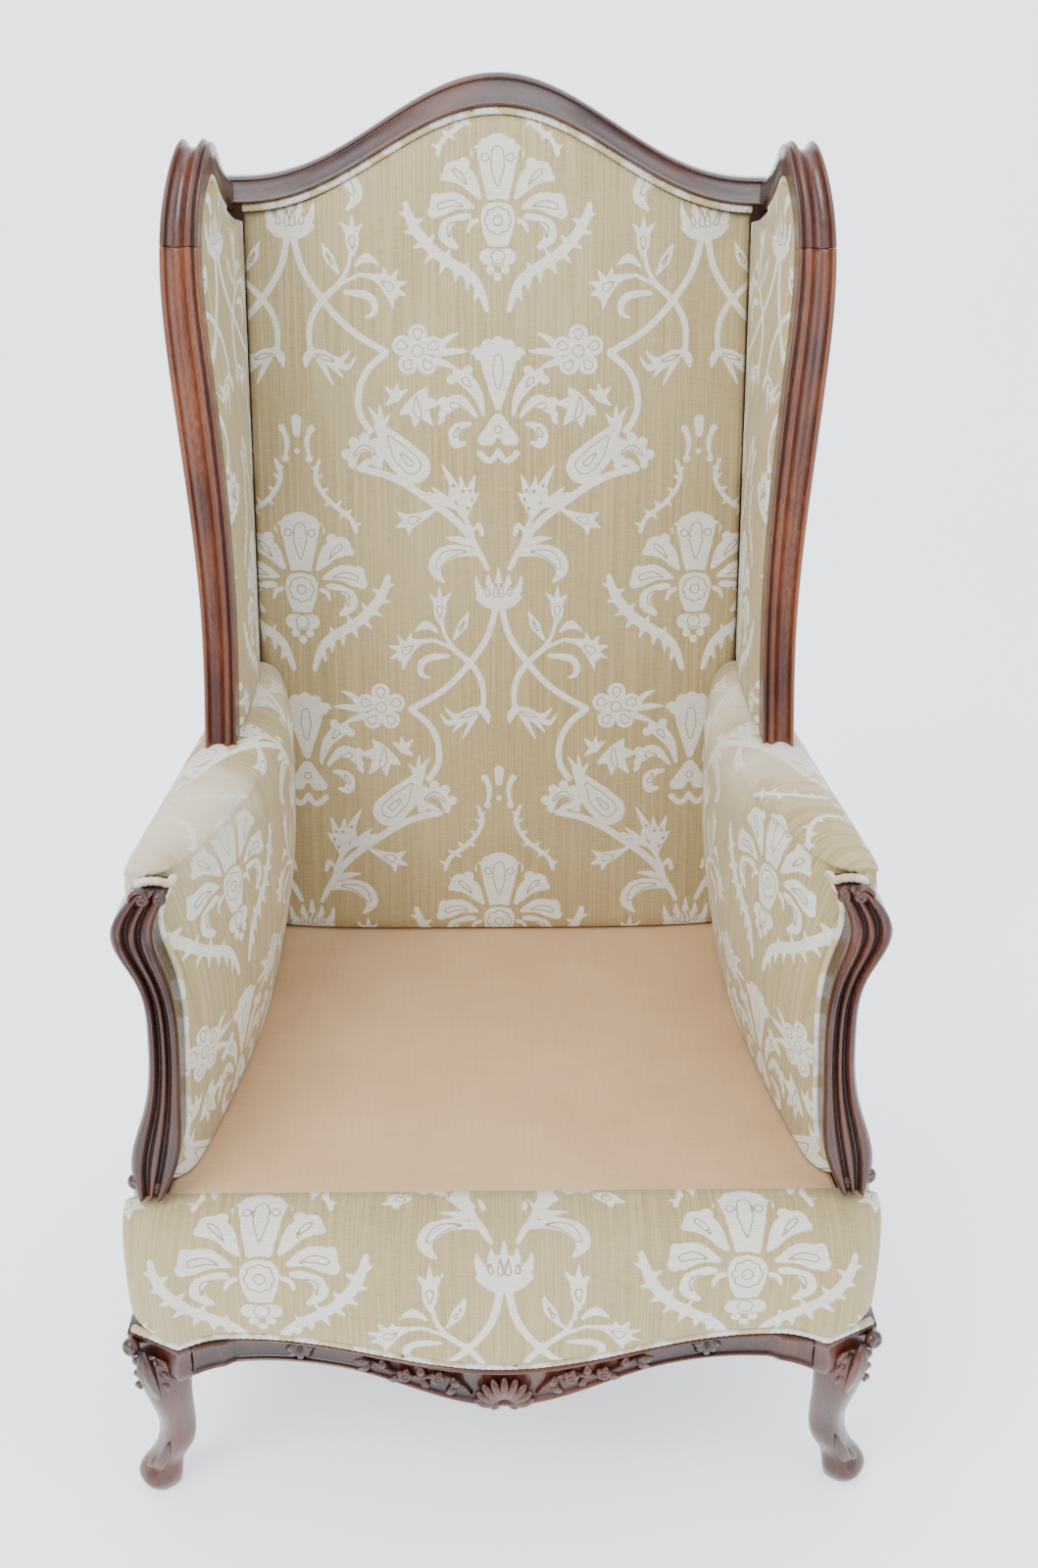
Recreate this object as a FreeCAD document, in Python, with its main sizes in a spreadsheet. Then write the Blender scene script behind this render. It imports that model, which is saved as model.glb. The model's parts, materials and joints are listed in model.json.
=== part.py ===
import FreeCAD, Part
import math
import os
import Sketcher
from types import SimpleNamespace
from FreeCAD import Placement, Rotation, Vector

# A fixed upholstered wing armchair with a moulded show-wood frame.
# Y runs to the back and Z up. The origin is on the floor under the middle.
# Left and right are as seen from the front, and those pieces mirror each other about X = 0.

# A size named for its inset lies that far inside the front legs' outer faces, and one named for its
# rise lies that far above the seat deck; the place itself is worked out below.

SIZES = {
    # Seat levels and lines
    "deck_height": 328.6,
    "deck_front": -291.0,
    "show_top": 207.0,
    "rail_top": 246.0,
    "web_level": 190.0,
    "rail_thick": 32.0,
    "rebate": 8.0,
    "web_ledge": 12.0,
    "clearance": 0.3,
    # Front rail, seen from above and from the front
    "front_quarter": -349.0,
    "front_bow": 41.0,
    "bow_half": 250.0,
    "rail_half_inset": 62.0,
    "apron_centre": 162.0,
    "apron_quarter": 184.0,
    "apron_end": 174.0,
    "apron_drop_half": 150.0,
    "shell_radius": 25.0,
    "shell_ribs": 9,
    # Front legs
    "leg_arris_x_inset": 51.0,
    "leg_arris_y": -363.0,
    "leg_out": 346.0,
    "leg_ear_y": -337.0,
    "leg_back": -303.0,
    "leg_block_low": 168.0,
    "knee_x_inset": 29.0,
    "knee_y": -334.0,
    "knee_r": 24.0,
    "ankle_x_inset": 34.0,
    "ankle_y": -324.0,
    "ankle_z": 84.0,
    "ankle_r": 16.5,
    "foot_x_inset": 13.0,
    "foot_y": -316.0,
    "foot_r": 20.0,
    # Back frame
    "back_base": 171.7,
    "back_slope": 0.19,
    "back_pad_depth": 24.0,
    "post_depth": 30.0,
    "post_in": 268.0,
    "post_width": 32.0,
    "post_seat_depth": 40.0,
    "rear_foot_y": 231.0,
    "rear_foot_depth": 30.0,
    "back_pad_half": 267.6,
    "panel_kick": 10.0,
    "panel_low_ease": 4.0,
    "panel_low_up": 60.0,
    "panel_high_up": 240.0,
    "back_crown": 12.0,
    # Crest rail
    "crest_fabric": 1211.3,
    "crest_height": 30.2,
    "corner_fabric": 1117.0,
    "corner_height": 24.0,
    "crest_half": 278.0,
    "arch_power": 1.2,
    "crest_setback": 28.0,
    # Wing frames: named stations from the arm to the crest
    "wing_base_y": 8.0,
    "wing_base_z_rise": 313.4,
    "wing_base_out": 294.0,
    "wing_base_in": 263.0,
    "wing_waist_y": 37.0,
    "wing_waist_z": 755.0,
    "wing_waist_out": 293.0,
    "wing_waist_in": 261.5,
    "wing_swell_y": 96.0,
    "wing_swell_z": 990.0,
    "wing_swell_out": 314.0,
    "wing_swell_in": 276.0,
    "wing_wide_y": 124.0,
    "wing_wide_z": 1103.0,
    "wing_wide_out": 318.5,
    "wing_wide_in": 283.0,
    "wing_brow_y": 135.5,
    "wing_brow_z": 1146.0,
    "wing_brow_out": 313.0,
    "wing_brow_in": 279.0,
    "wing_crown_y": 165.0,
    "wing_crown_z": 1187.0,
    "wing_crown_out": 303.0,
    "wing_crown_in": 272.0,
    "wing_fall_y": 251.0,
    "wing_fall_z": 1168.0,
    "wing_fall_out": 302.0,
    "wing_fall_in": 274.0,
    "wing_tail_y": 349.0,
    "wing_tail_z": 1137.0,
    "wing_tail_out": 303.0,
    "wing_tail_in": 277.0,
    "wing_depth": 30.0,
    "ear_joint_z": 1150.0,
    "wing_slat_width": 12.0,
    "wing_slat_depth": 12.0,
    "wing_pad_thick": 16.0,
    "wing_crown": 4.0,
    # Arm facings: named stations from the seat to the scroll
    "facing_low_y": -305.5,
    "facing_low_z_rise": 8.4,
    "facing_lean": 0.2206,
    "facing_depth": 28.0,
    "facing_low_out_inset": 17.0,
    "facing_low_in_inset": 40.0,
    "facing_foot_z_rise": 37.4,
    "facing_foot_out_inset": 12.0,
    "facing_foot_in_inset": 53.0,
    "facing_calf_z_rise": 91.4,
    "facing_calf_out_inset": 26.0,
    "facing_calf_in_inset": 59.0,
    "facing_waist_z_rise": 161.4,
    "facing_waist_out_inset": 32.5,
    "facing_waist_in_inset": 60.0,
    "facing_neck_z_rise": 211.4,
    "facing_neck_out_inset": 23.0,
    "facing_neck_in_inset": 52.0,
    "facing_bulge_z_rise": 249.4,
    "facing_bulge_out_inset": 5.0,
    "facing_bulge_in_inset": 42.0,
    "facing_top_z_rise": 288.4,
    "facing_top_out_inset": 28.0,
    "facing_top_in_inset": 57.0,
    "eye_r": 5.0,
    "reed": 6.0,
    "bead": 3.6,
    # Arms
    "arm_frame_in_inset": 55.0,
    "arm_frame_in_back": 267.5,
    "arm_rail_width": 24.0,
    "arm_rail_low_rise": 237.4,
    "arm_rail_high_rise": 267.4,
    "arm_post_width": 15.0,
    "arm_post_foot_inset": 27.0,
    "arm_post_depth": 34.0,
    "arm_seat_front_inset": 56.0,
    "arm_seat_mid_inset": 92.0,
    "arm_seat_back": 250.0,
    "arm_bulge_front_inset": 60.0,
    "arm_bulge_mid_inset": 124.0,
    "arm_bulge_back": 236.0,
    "arm_roll_front_inset": 9.0,
    "arm_roll_mid_inset": 26.0,
    "arm_roll_back": 300.0,
    "arm_top_rise": 312.4,
    "tack_low_rise": 16.4,
    "tack_high_rise": 41.4,
    "tack_thick": 18.0,
    "panel_thick": 4.5,
    # Seat filling
    "cloth": 1.5,
    "deck_cloth": 3.0,
    "spring_radius": 36.0,
    "spring_wire": 3.6,
    "spring_turns": 4,
    "spring_pitch_x": 150.0,
    "spring_pitch_y": 135.0,
    "spring_mid_y": -62.0,
    "hessian_level_rise": -44.6,
    "web_width": 50.0,
    "web_thick": 2.0,
    "web_pitch": 120.0,
    "web_lap": 16.0,
    "rail_seat_thick": 26.0,
    # Border, welts and small parts
    "border_nose": 7.0,
    "border_out_inset": 1.0,
    "welt_r": 4.2,
    "block_leg": 60.0,
    "block_thick": 26.0,
    "block_over_web": 15.0,
    "dowel_r": 4.0,
    "dowel_length": 44.0,
    "dowel_depth": 13.0,
    "dowel_edge": 9.0,
    "screw_r": 2.5,
    "screw_head_r": 5.0,
    "screw_head": 3.0,
    "screw_seat": 10.0,
    "screw_length": 28.0,
}

doc = FreeCAD.newDocument("wing_armchair")
sheet = doc.addObject("Spreadsheet::Sheet", "Sizes")
for row, (name, value) in enumerate(SIZES.items(), start=1):
    sheet.set(f"A{row}", name)
    sheet.set(f"B{row}", str(value))
    sheet.setAlias(f"B{row}", name)
doc.recompute()
s = SimpleNamespace(**{name: float(sheet.get(name)) for name in SIZES})
for name in SIZES:
    base, _, kind = name.rpartition("_")
    if kind == "inset":
        setattr(s, base, s.leg_out - getattr(s, name))
    if kind == "rise":
        setattr(s, base, s.deck_height + getattr(s, name))
nodes = []
FLAT = 1e-6


def keep(piece, label):
    """Give a finished sub-part its label and list it for export."""
    piece.Label = label
    nodes.append(piece)
    return piece


def keep_shape(shape, label):
    """A sub-part whose form is computed here, as a plain feature."""
    if shape.Volume < 0:
        shape.reverse()
    piece = doc.addObject("Part::Feature", label)
    piece.Shape = shape
    piece.Placement = Placement()
    return keep(piece, label)


def side_name(base, side):
    """A mirrored sub-part's name, left and right as seen from the front."""
    return f"{base}_{'left' if side < 0 else 'right'}"


# Curves and sections


def closed(points):
    """A closed wire of straight edges."""
    return Part.makePolygon(list(points) + [points[0]])


def section(steps, place, rounds=3):
    """A ring of points from (a, b) steps; a step of four values is a round stretch: middle, then end."""
    start = steps[0]
    points = [place(*start)]
    for step in steps[1:]:
        if len(step) == 4:
            bend = Part.Arc(points[-1], place(step[0], step[1]), place(step[2], step[3])).toShape()
            points += bend.discretize(Number=rounds + 1)[1:]
        else:
            points.append(place(*step))
    return points


def skin(rings):
    """A solid of small flat faces through rings of points, closed at both ends."""
    faces = [Part.Face(closed(ring)) for ring in (rings[0], rings[-1])]
    count = len(rings[0])
    for one, two in zip(rings, rings[1:]):
        for i in range(count):
            j = (i + 1) % count
            for corners in ((one[i], one[j], two[j]), (one[i], two[j], two[i])):
                a, b, c = corners
                if (b - a).cross(c - a).Length > FLAT:
                    faces.append(Part.Face(closed(corners)))
    shell = Part.makeShell(faces)
    shell.sewShape()
    solid = Part.Solid(shell)
    if solid.Volume < 0:
        solid.reverse()
    return solid.removeSplitter()


def quad(corners):
    """A ring of points from plain triples."""
    return [Vector(*corner) for corner in corners]


def steps_between(low, high, count):
    """Evenly spaced values, both ends included."""
    return [low + (high - low) * i / (count - 1) for i in range(count)]


def bow(share, front, middle, back):
    """The parabola through three values at 0, one half and 1."""
    first = 2 * (share - 0.5) * (share - 1)
    second = 4 * share * (1 - share)
    third = 2 * share * (share - 0.5)
    return first * front + second * middle + third * back


# The chair's ruling lines


def back_face(z):
    """Y of the middle of the inside back at a height."""
    return s.back_base + s.back_slope * (z - s.deck_height)


def arch(x):
    """Share of the crest's rise at x: 1 in the middle, 0 at the corners."""
    share = min(abs(x) / s.crest_half, 1.0)
    return ((1 + math.cos(math.pi * share)) / 2) ** s.arch_power


def crest_low(x):
    """Height of the crest's lower edge, where the fabric ends."""
    return s.corner_fabric + (s.crest_fabric - s.corner_fabric) * arch(x)


def crest_high(x):
    """Height of the crest's upper edge."""
    return crest_low(x) + s.corner_height + (s.crest_height - s.corner_height) * arch(x)


def front_line(x):
    """Y of the seat's front edge: bowed in the middle, hollow at the quarters, out again at the legs."""
    x = abs(x)
    if x < s.bow_half:
        share = (1 + math.cos(math.pi * x / s.bow_half)) / 2
        return s.front_quarter - s.front_bow * share ** 1.1
    if x < s.leg_arris_x:
        share = (x - s.bow_half) / (s.leg_arris_x - s.bow_half)
        return s.front_quarter + (s.leg_arris_y - s.front_quarter) * share ** 2
    share = (x - s.leg_arris_x) / (s.leg_out - s.leg_arris_x)
    return s.leg_arris_y + (s.leg_ear_y - s.leg_arris_y) * share


def apron(x):
    """Height of the front rail's lower edge."""
    x = abs(x)
    if x < s.apron_drop_half:
        share = (1 + math.cos(math.pi * x / s.apron_drop_half)) / 2
        return s.apron_quarter + (s.apron_centre - s.apron_quarter) * share
    share = (x - s.apron_drop_half) / (s.rail_half - s.apron_drop_half)
    return s.apron_quarter + (s.apron_end - s.apron_quarter) * share ** 2


def facing_back(z):
    """Y of the facing's rear face, which leans with the arm."""
    return s.facing_low_y + s.facing_lean * (z - s.facing_low_z) + s.facing_depth


# Parametric bodies


def origin_plane(body, role):
    """One of a body's own origin planes."""
    return next(f for f in body.Origin.OriginFeatures if f.Role == role)


def outline(body, role, corners):
    """A closed sketch whose corners are bound to the sheet by pairs of expressions."""
    sketch = body.newObject("Sketcher::SketchObject", "Outline")
    sketch.AttachmentSupport = (origin_plane(body, role), [""])
    sketch.MapMode = "FlatFace"
    count = len(corners)
    ring = [Vector(100 * math.cos(2 * math.pi * i / count), 100 * math.sin(2 * math.pi * i / count), 0)
            for i in range(count)]
    for i in range(count):
        sketch.addGeometry(Part.LineSegment(ring[i], ring[(i + 1) % count]), False)
    for i in range(count):
        sketch.addConstraint(Sketcher.Constraint("Coincident", i, 2, (i + 1) % count, 1))
    for i, (across, up) in enumerate(corners):
        first = sketch.addConstraint(Sketcher.Constraint("DistanceX", -1, 1, i, 1, ring[i].x))
        sketch.setExpression(f"Constraints[{first}]", across)
        second = sketch.addConstraint(Sketcher.Constraint("DistanceY", -1, 1, i, 1, ring[i].y))
        sketch.setExpression(f"Constraints[{second}]", up)
    return sketch


def padded_body(label, role, corners, length, midplane=True):
    """A body made by padding one outline."""
    body = doc.addObject("PartDesign::Body", label)
    sketch = outline(body, role, corners)
    pad = body.newObject("PartDesign::Pad", "Pad")
    pad.Profile = sketch
    pad.SideType = "Symmetric" if midplane else "One side"
    pad.setExpression("Length", length)
    doc.recompute()
    return body


# Show wood


def bore(shape, pins):
    """A shape with a clearance hole for each pin that enters it."""
    for middle, way in pins:
        hole = pin(middle, way, s.dowel_length + 2 * s.clearance, s.dowel_r + s.clearance / 2)
        shape = shape.cut(hole)
    return shape


def pin(middle, way, length, radius):
    """A round pin about its middle."""
    return Part.makeCylinder(radius, length, middle - way * (length / 2), way)


def rail_pins(side):
    """Middle and direction of the dowels between the front rail and a leg."""
    y = front_line(s.rail_half) + s.dowel_depth
    return [(Vector(side * s.rail_half, y, z), Vector(side, 0, 0))
            for z in (s.apron_end + s.dowel_edge, s.show_top - s.dowel_edge)]


def side_pins(side, rear):
    """Middle and direction of the dowels between a side rail and the leg in front or the post behind."""
    pins = []
    for z in (s.web_level + s.dowel_edge, s.rail_top - 2 * s.dowel_edge):
        y = post_face(z) if rear else s.leg_back
        pins.append((Vector(side * (side_line(y) - s.rail_thick / 2), y, z), Vector(0, 1, 0)))
    return pins


def rail_stations():
    """The places along X that the front rail and its neighbours are drawn through."""
    return steps_between(-s.rail_half, s.rail_half, 29)


def front_rail():
    """Serpentine apron rail: a moulded section carried between the legs, with a carved shell."""
    bead = s.bead
    hidden_back = s.rail_thick

    def rail_section(x):
        face = front_line(x)
        low = apron(x)
        fillet = low + 3 * bead
        ledge = s.show_top

        def place(depth, z):
            return Vector(x, face + depth, z)

        return section([
            (bead, low),
            (0.0, low + bead, bead, low + 2 * bead),
            (bead + 1.5, (fillet + ledge - 2 * bead) / 2, bead, ledge - 2 * bead),
            (0.0, ledge - bead, bead, ledge),
            (s.rebate, ledge),
            (s.rebate, s.rail_top),
            (hidden_back, s.rail_top),
            (hidden_back, s.web_level),
            (hidden_back - s.web_ledge, s.web_level),
            (hidden_back - s.web_ledge, low),
        ], place)

    rail = skin([rail_section(x) for x in rail_stations()]).fuse(shell_carving()).removeSplitter()
    return keep_shape(bore(rail, rail_pins(-1) + rail_pins(1)), "front_rail")


def shell_carving():
    """Scallop shell at the middle of the apron: tapered ribs fanned about its lower hinge."""
    face = front_line(0)
    spread = math.radians(150.0)
    count = int(s.shell_ribs)
    step = spread / (count - 1)
    low = s.apron_centre + 2
    carving = None
    for i in range(count):
        angle = -spread / 2 + step * i
        reach = s.shell_radius * (1.0 + 0.3 * math.cos(angle))
        way = Vector(math.sin(angle), 0, math.cos(angle))
        side_way = Vector(math.cos(angle), 0, -math.sin(angle))
        wires = []
        for share, proud in ((0.08, 2.0), (0.75, 4.5), (1.0, 2.5)):
            half = 0.55 * step * reach * share
            middle = Vector(0, face + 4, low) + way * (reach * share)
            lift = Vector(0, -4 - proud, 0)
            wires.append([middle - side_way * half, middle - side_way * half * 0.5 + lift,
                          middle + side_way * half * 0.5 + lift, middle + side_way * half,
                          middle + Vector(0, 6, 0)])
        rib = skin(wires)
        carving = rib if carving is None else carving.fuse(rib)
    return carving


def front_leg(side):
    """Cabriole leg: a canted block with an ear, a knee, a slim ankle and a scroll toe."""
    def ring(z, x, y, across, along):
        count = 12
        points = []
        for i in range(count):
            turn = 2 * math.pi * i / count
            px = across * math.cos(turn)
            py = along * math.sin(turn)
            cant = math.radians(-35)
            points.append(Vector(side * (x + px * math.cos(cant) - py * math.sin(cant)),
                                 y + px * math.sin(cant) + py * math.cos(cant), z))
        return points

    calf_z = (s.ankle_z + s.leg_block_low) / 2
    rings = [
        ring(0.0, s.foot_x, s.foot_y, s.foot_r * 0.8, s.foot_r * 0.8),
        ring(12.0, s.foot_x + 2, s.foot_y - 2, s.foot_r, s.foot_r * 0.95),
        ring(30.0, s.foot_x - 4, s.foot_y, s.foot_r * 0.85, s.foot_r * 0.85),
        ring(52.0, s.ankle_x + 6, s.ankle_y + 4, s.ankle_r, s.ankle_r * 1.02),
        ring(s.ankle_z, s.ankle_x, s.ankle_y, s.ankle_r, s.ankle_r * 1.05),
        ring(calf_z, s.knee_x - 3, s.knee_y + 2, s.ankle_r * 1.2, s.ankle_r * 1.3),
        ring(s.leg_block_low, s.knee_x, s.knee_y, s.knee_r, s.knee_r),
        ring(s.leg_block_low + 20, s.knee_x, s.knee_y, s.knee_r * 0.95, s.knee_r * 0.95),
    ]
    leg = skin(rings)
    plan = [(s.rail_half, front_line(s.rail_half)), (s.leg_arris_x, s.leg_arris_y),
            ((s.leg_arris_x + s.leg_out) / 2 + 2, (s.leg_arris_y + s.leg_ear_y) / 2 - 2),
            (s.leg_out, s.leg_ear_y), (s.leg_out, s.leg_back), (s.rail_half, s.leg_back)]
    base = closed([Vector(side * x, y, s.leg_block_low) for x, y in plan])
    block = Part.Face(base).extrude(Vector(0, 0, s.show_top - s.leg_block_low))
    hidden = Part.makeBox(s.leg_out - s.rail_half - 2 * s.rebate, s.leg_back - s.leg_ear_y - s.rebate,
                          s.rail_top - s.show_top,
                          Vector(s.rail_half + s.rebate, s.leg_ear_y + s.rebate, s.show_top))
    if side < 0:
        hidden = hidden.mirror(Vector(0, 0, 0), Vector(1, 0, 0))
    whole = leg.multiFuse([block, hidden])
    return keep_shape(bore(whole, rail_pins(side) + side_pins(side, False)), side_name("front_leg", side))


def back_post(side):
    """Rear leg and back post in one length, kinked at the seat and raked to the floor."""
    front_at = "(Sizes.back_base + Sizes.back_pad_depth + Sizes.back_slope * ({z} - Sizes.deck_height))"
    seat_z = "Sizes.web_level"
    over_z = "Sizes.rail_top"
    top_z = "Sizes.corner_fabric"
    low_z = "(Sizes.rail_top + Sizes.panel_low_up)"
    high_z = "(Sizes.rail_top + Sizes.panel_high_up)"
    front_seat = front_at.format(z=seat_z)
    front_over = front_at.format(z=over_z)
    front_top = front_at.format(z=top_z)
    corners = [
        ("Sizes.rear_foot_y", "0"),
        ("Sizes.rear_foot_y + Sizes.rear_foot_depth", "0"),
        (f"{front_seat} + Sizes.post_seat_depth", f"{seat_z} - 20"),
        (f"{front_over} + Sizes.post_seat_depth - 4", over_z),
        (f"{front_at.format(z=low_z)} + Sizes.post_depth + Sizes.panel_low_ease", low_z),
        (f"{front_at.format(z=high_z)} + Sizes.post_depth", high_z),
        (f"{front_top} + Sizes.post_depth", top_z),
        (front_top, top_z),
        (front_over, over_z),
        (front_seat, seat_z),
    ]
    body = padded_body(f"post_blank_{side}", "YZ_Plane", corners, "Sizes.post_width")
    body.Placement = Placement(Vector(side * (s.post_in + s.post_width / 2), 0, 0), Rotation())
    return keep_shape(bore(body.Shape, side_pins(side, True)), side_name("back_post", side))


def crest_rail():
    """Arched top rail: lower bead, wide cove and top bead carried along the arch."""
    reach = s.post_in + s.post_width

    def crest_section(x):
        low = crest_low(x)
        high = crest_high(x)
        back = s.back_pad_depth + s.post_depth
        top = s.crest_setback

        def place(share, depth):
            z = low + (high - low) * share
            return Vector(x, back_face(z) + depth, z)

        return section([
            (0.0, 4.0),
            (0.12, -4.0, 0.22, 1.0),
            (0.56, 0.72 * top, 0.84, 0.86 * top),
            (0.93, 0.74 * top, 0.99, top - 2),
            (1.0, top + 2),
            (1.0, back - 8),
            (0.94, back - 2, 0.8, back),
            (0.0, back),
        ], place)

    stations = steps_between(-s.crest_half, s.crest_half, 25)
    stations = [-reach] + stations + [reach]
    return keep_shape(skin([crest_section(x) for x in stations]), "crest_rail")


def wing_edges(side):
    """The outer and inner edges of the wing frame's face, as two curves through the named stations."""
    names = ["base", "waist", "swell", "wide", "brow", "crown", "fall", "tail"]

    def edge(which):
        points = []
        for name in names:
            x = getattr(s, f"wing_{name}_{which}")
            points.append(Vector(side * x, getattr(s, f"wing_{name}_y"), getattr(s, f"wing_{name}_z")))
        curve = Part.BSplineCurve()
        curve.interpolate(points)
        return curve

    return edge("out"), edge("in")


def along(curve, share):
    """The parameter at a share of a curve's length of parameters."""
    return curve.FirstParameter + share * (curve.LastParameter - curve.FirstParameter)


def joint_share():
    """How far along the wing frame the stile ends and the ear begins."""
    curve = wing_edges(1)[0]
    level = Part.Plane(Vector(0, 0, s.ear_joint_z), Vector(0, 0, 1))
    point = min(curve.intersectCS(level)[0], key=lambda found: found.Y)
    reach = curve.LastParameter - curve.FirstParameter
    return (curve.parameter(Vector(point.X, point.Y, point.Z)) - curve.FirstParameter) / reach


def wing_section(side, share):
    """The double-ridged moulding at a share of the wing frame's length."""
    outer, inner = wing_edges(side)
    place_out = outer.value(along(outer, share))
    place_in = inner.value(along(inner, share))
    across, out = wing_axes(side, share)
    width = abs(place_in.x - place_out.x)

    def place(a, b):
        return place_out + across * (a * width) + out * (b - s.bead)

    depth = s.bead - s.wing_depth
    return section([
        (0.0, depth),
        (0.0, 0.0),
        (0.05, 0.8 * s.bead, 0.13, 0.7 * s.bead),
        (0.17, 0.0),
        (0.36, -s.bead, 0.56, -0.2 * s.bead),
        (0.60, -0.9 * s.bead),
        (0.64, 0.0),
        (0.71, s.bead, 0.80, 0.4 * s.bead),
        (0.86, -0.4 * s.bead),
        (0.93, 0.3 * s.bead, 1.0, -0.5 * s.bead),
        (1.0, depth),
    ], place, rounds=2)


def wing_axes(side, share):
    """Across (outside to inside) and outward directions of the wing frame."""
    outer = wing_edges(side)[0]
    tangent = outer.tangent(along(outer, share))[0]
    return Vector(-side, 0, 0), Vector(0, -tangent.z, tangent.y).normalize()


def wing_stile(side):
    """Front member of the wing frame, from the arm rail to the joint under the ear."""
    wires = [wing_section(side, share) for share in steps_between(0.0, joint_share(), 10)]
    return keep_shape(skin(wires).fuse(stile_foot(side)), side_name("wing_stile", side))


def stile_foot(side, grow=0.0):
    """The squared foot that carries the stile through the arm's stuffing to the arm rail."""
    lean = (s.wing_waist_y - s.wing_base_y) / (s.wing_waist_z - s.wing_base_z)
    slant = math.hypot(1.0, lean)
    rings = []
    for z in (s.arm_rail_high - grow / 2, s.wing_base_z + 4):
        line = s.wing_base_y + lean * (z - s.wing_base_z)
        front = line + s.bead * slant - grow
        rear = line + s.wing_depth * slant + grow
        inner = s.wing_base_in - grow
        outer = s.wing_base_out + grow
        rings.append(quad([(side * inner, front, z), (side * outer, front, z),
                           (side * outer, rear, z), (side * inner, rear, z)]))
    return skin(rings)


def mirrored(shape):
    """The other hand of a shape."""
    return shape.mirror(Vector(0, 0, 0), Vector(1, 0, 0))


def wing_ear(side, crest_piece, post_piece):
    """Top member of the wing frame, rounding over and coped to the crest rail and the post."""
    wires = [wing_section(side, share) for share in steps_between(joint_share(), 1.0, 14)]
    ear = skin(wires).cut(crest_piece.Shape).cut(post_piece.Shape)
    ear = max(ear.Solids, key=lambda solid: solid.Volume)
    return keep_shape(ear, side_name("wing_ear", side))


def facing_edge(which, z):
    """X of the facing's outer or inner outline at a height."""
    names = ["low", "foot", "calf", "waist", "neck", "bulge", "top"]
    curve = Part.BSplineCurve()
    curve.interpolate([Vector(getattr(s, f"facing_{name}_{which}"), 0, getattr(s, f"facing_{name}_z"))
                       for name in names])
    z = min(max(z, s.facing_low_z + 0.01), s.facing_top_z - 0.01)
    level = Part.Plane(Vector(0, 0, z), Vector(0, 0, 1))
    return curve.intersectCS(level)[0][0].X


def facing_section(side, z):
    """Three reeds with dark channels between them, on a flat back."""
    y = s.facing_low_y + s.facing_lean * (z - s.facing_low_z)
    x_out = facing_edge("out", z)
    width = x_out - facing_edge("in", z)
    reed = s.reed

    def place(a, b):
        return Vector(side * (x_out - a * width), y + reed - b, z)

    depth = reed - s.facing_depth
    return section([
        (0.0, depth),
        (0.0, 0.0),
        (0.13, 0.85 * reed, 0.29, 0.25 * reed),
        (0.35, -0.3 * reed),
        (0.46, 0.45 * reed, 0.57, -0.1 * reed),
        (0.62, -0.3 * reed),
        (0.68, 0.0),
        (0.84, 0.9 * reed, 1.0, 0.1 * reed),
        (1.0, depth),
    ], place, rounds=2)


def arm_facing(side):
    """Reeded facing that bulges under its scroll eyes, narrows and ends in a small foot scroll."""
    levels = steps_between(s.facing_low_z, s.facing_top_z, 17)
    body = skin([facing_section(side, z) for z in levels])
    top_y = s.facing_low_y + s.facing_lean * (s.facing_top_z - s.facing_low_z)
    for share in (0.3, 0.72):
        x = s.facing_top_out + (s.facing_top_in - s.facing_top_out) * share
        middle = Vector(side * x, top_y + s.reed + 2, s.facing_top_z - s.eye_r)
        ring = [middle + Vector(s.eye_r * math.cos(turn), 0, s.eye_r * math.sin(turn))
                for turn in steps_between(0.0, 2 * math.pi, 13)[:-1]]
        body = body.fuse(Part.Face(closed(ring)).extrude(Vector(0, -s.reed - 4, 0)))
    return keep_shape(body, side_name("arm_facing", side))


# Frame members that run between two leaning faces


def member(side, label, front, rear, low, high, front_x, rear_x, front_wide, rear_wide):
    """A straight rail between two leaning faces, given by their Y at a height."""
    def end(face, inner, wide):
        return quad([(side * inner, face(low), low), (side * (inner + wide), face(low), low),
                     (side * (inner + wide), face(high), high), (side * inner, face(high), high)])

    shape = skin([end(front, front_x, front_wide), end(rear, rear_x, rear_wide)])
    return keep_shape(shape, side_name(label, side))


def post_face(z):
    """Y of the back post's front face."""
    return back_face(z) + s.back_pad_depth


def post_mid(z):
    """X of the middle of the arm post, which follows the facing above the seat."""
    if z < s.facing_low_z:
        return s.arm_post_foot
    return (facing_edge("out", z) + facing_edge("in", z)) / 2


def welt_back(z):
    """Y just behind the welt that follows the facing."""
    return facing_back(z) + 2 * s.welt_r + 2 * s.clearance


def arm_rail_inner(y, z):
    """X of the arm rail's inner side, over the post in front and inside the back post behind."""
    front = post_mid(s.arm_rail_low) + s.arm_post_width / 2 - s.arm_rail_width
    share = (y - welt_back(z)) / (post_face(z) - welt_back(z))
    return front + (s.arm_frame_in_back - front) * share


def side_line(y):
    """X of the side rail's outer face at a depth into the seat."""
    front_x = s.leg_out - 4
    rear_y = post_face(s.web_level)
    rear_x = s.post_in + s.post_width
    return front_x + (rear_x - front_x) * (y - s.leg_back) / (rear_y - s.leg_back)


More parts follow.
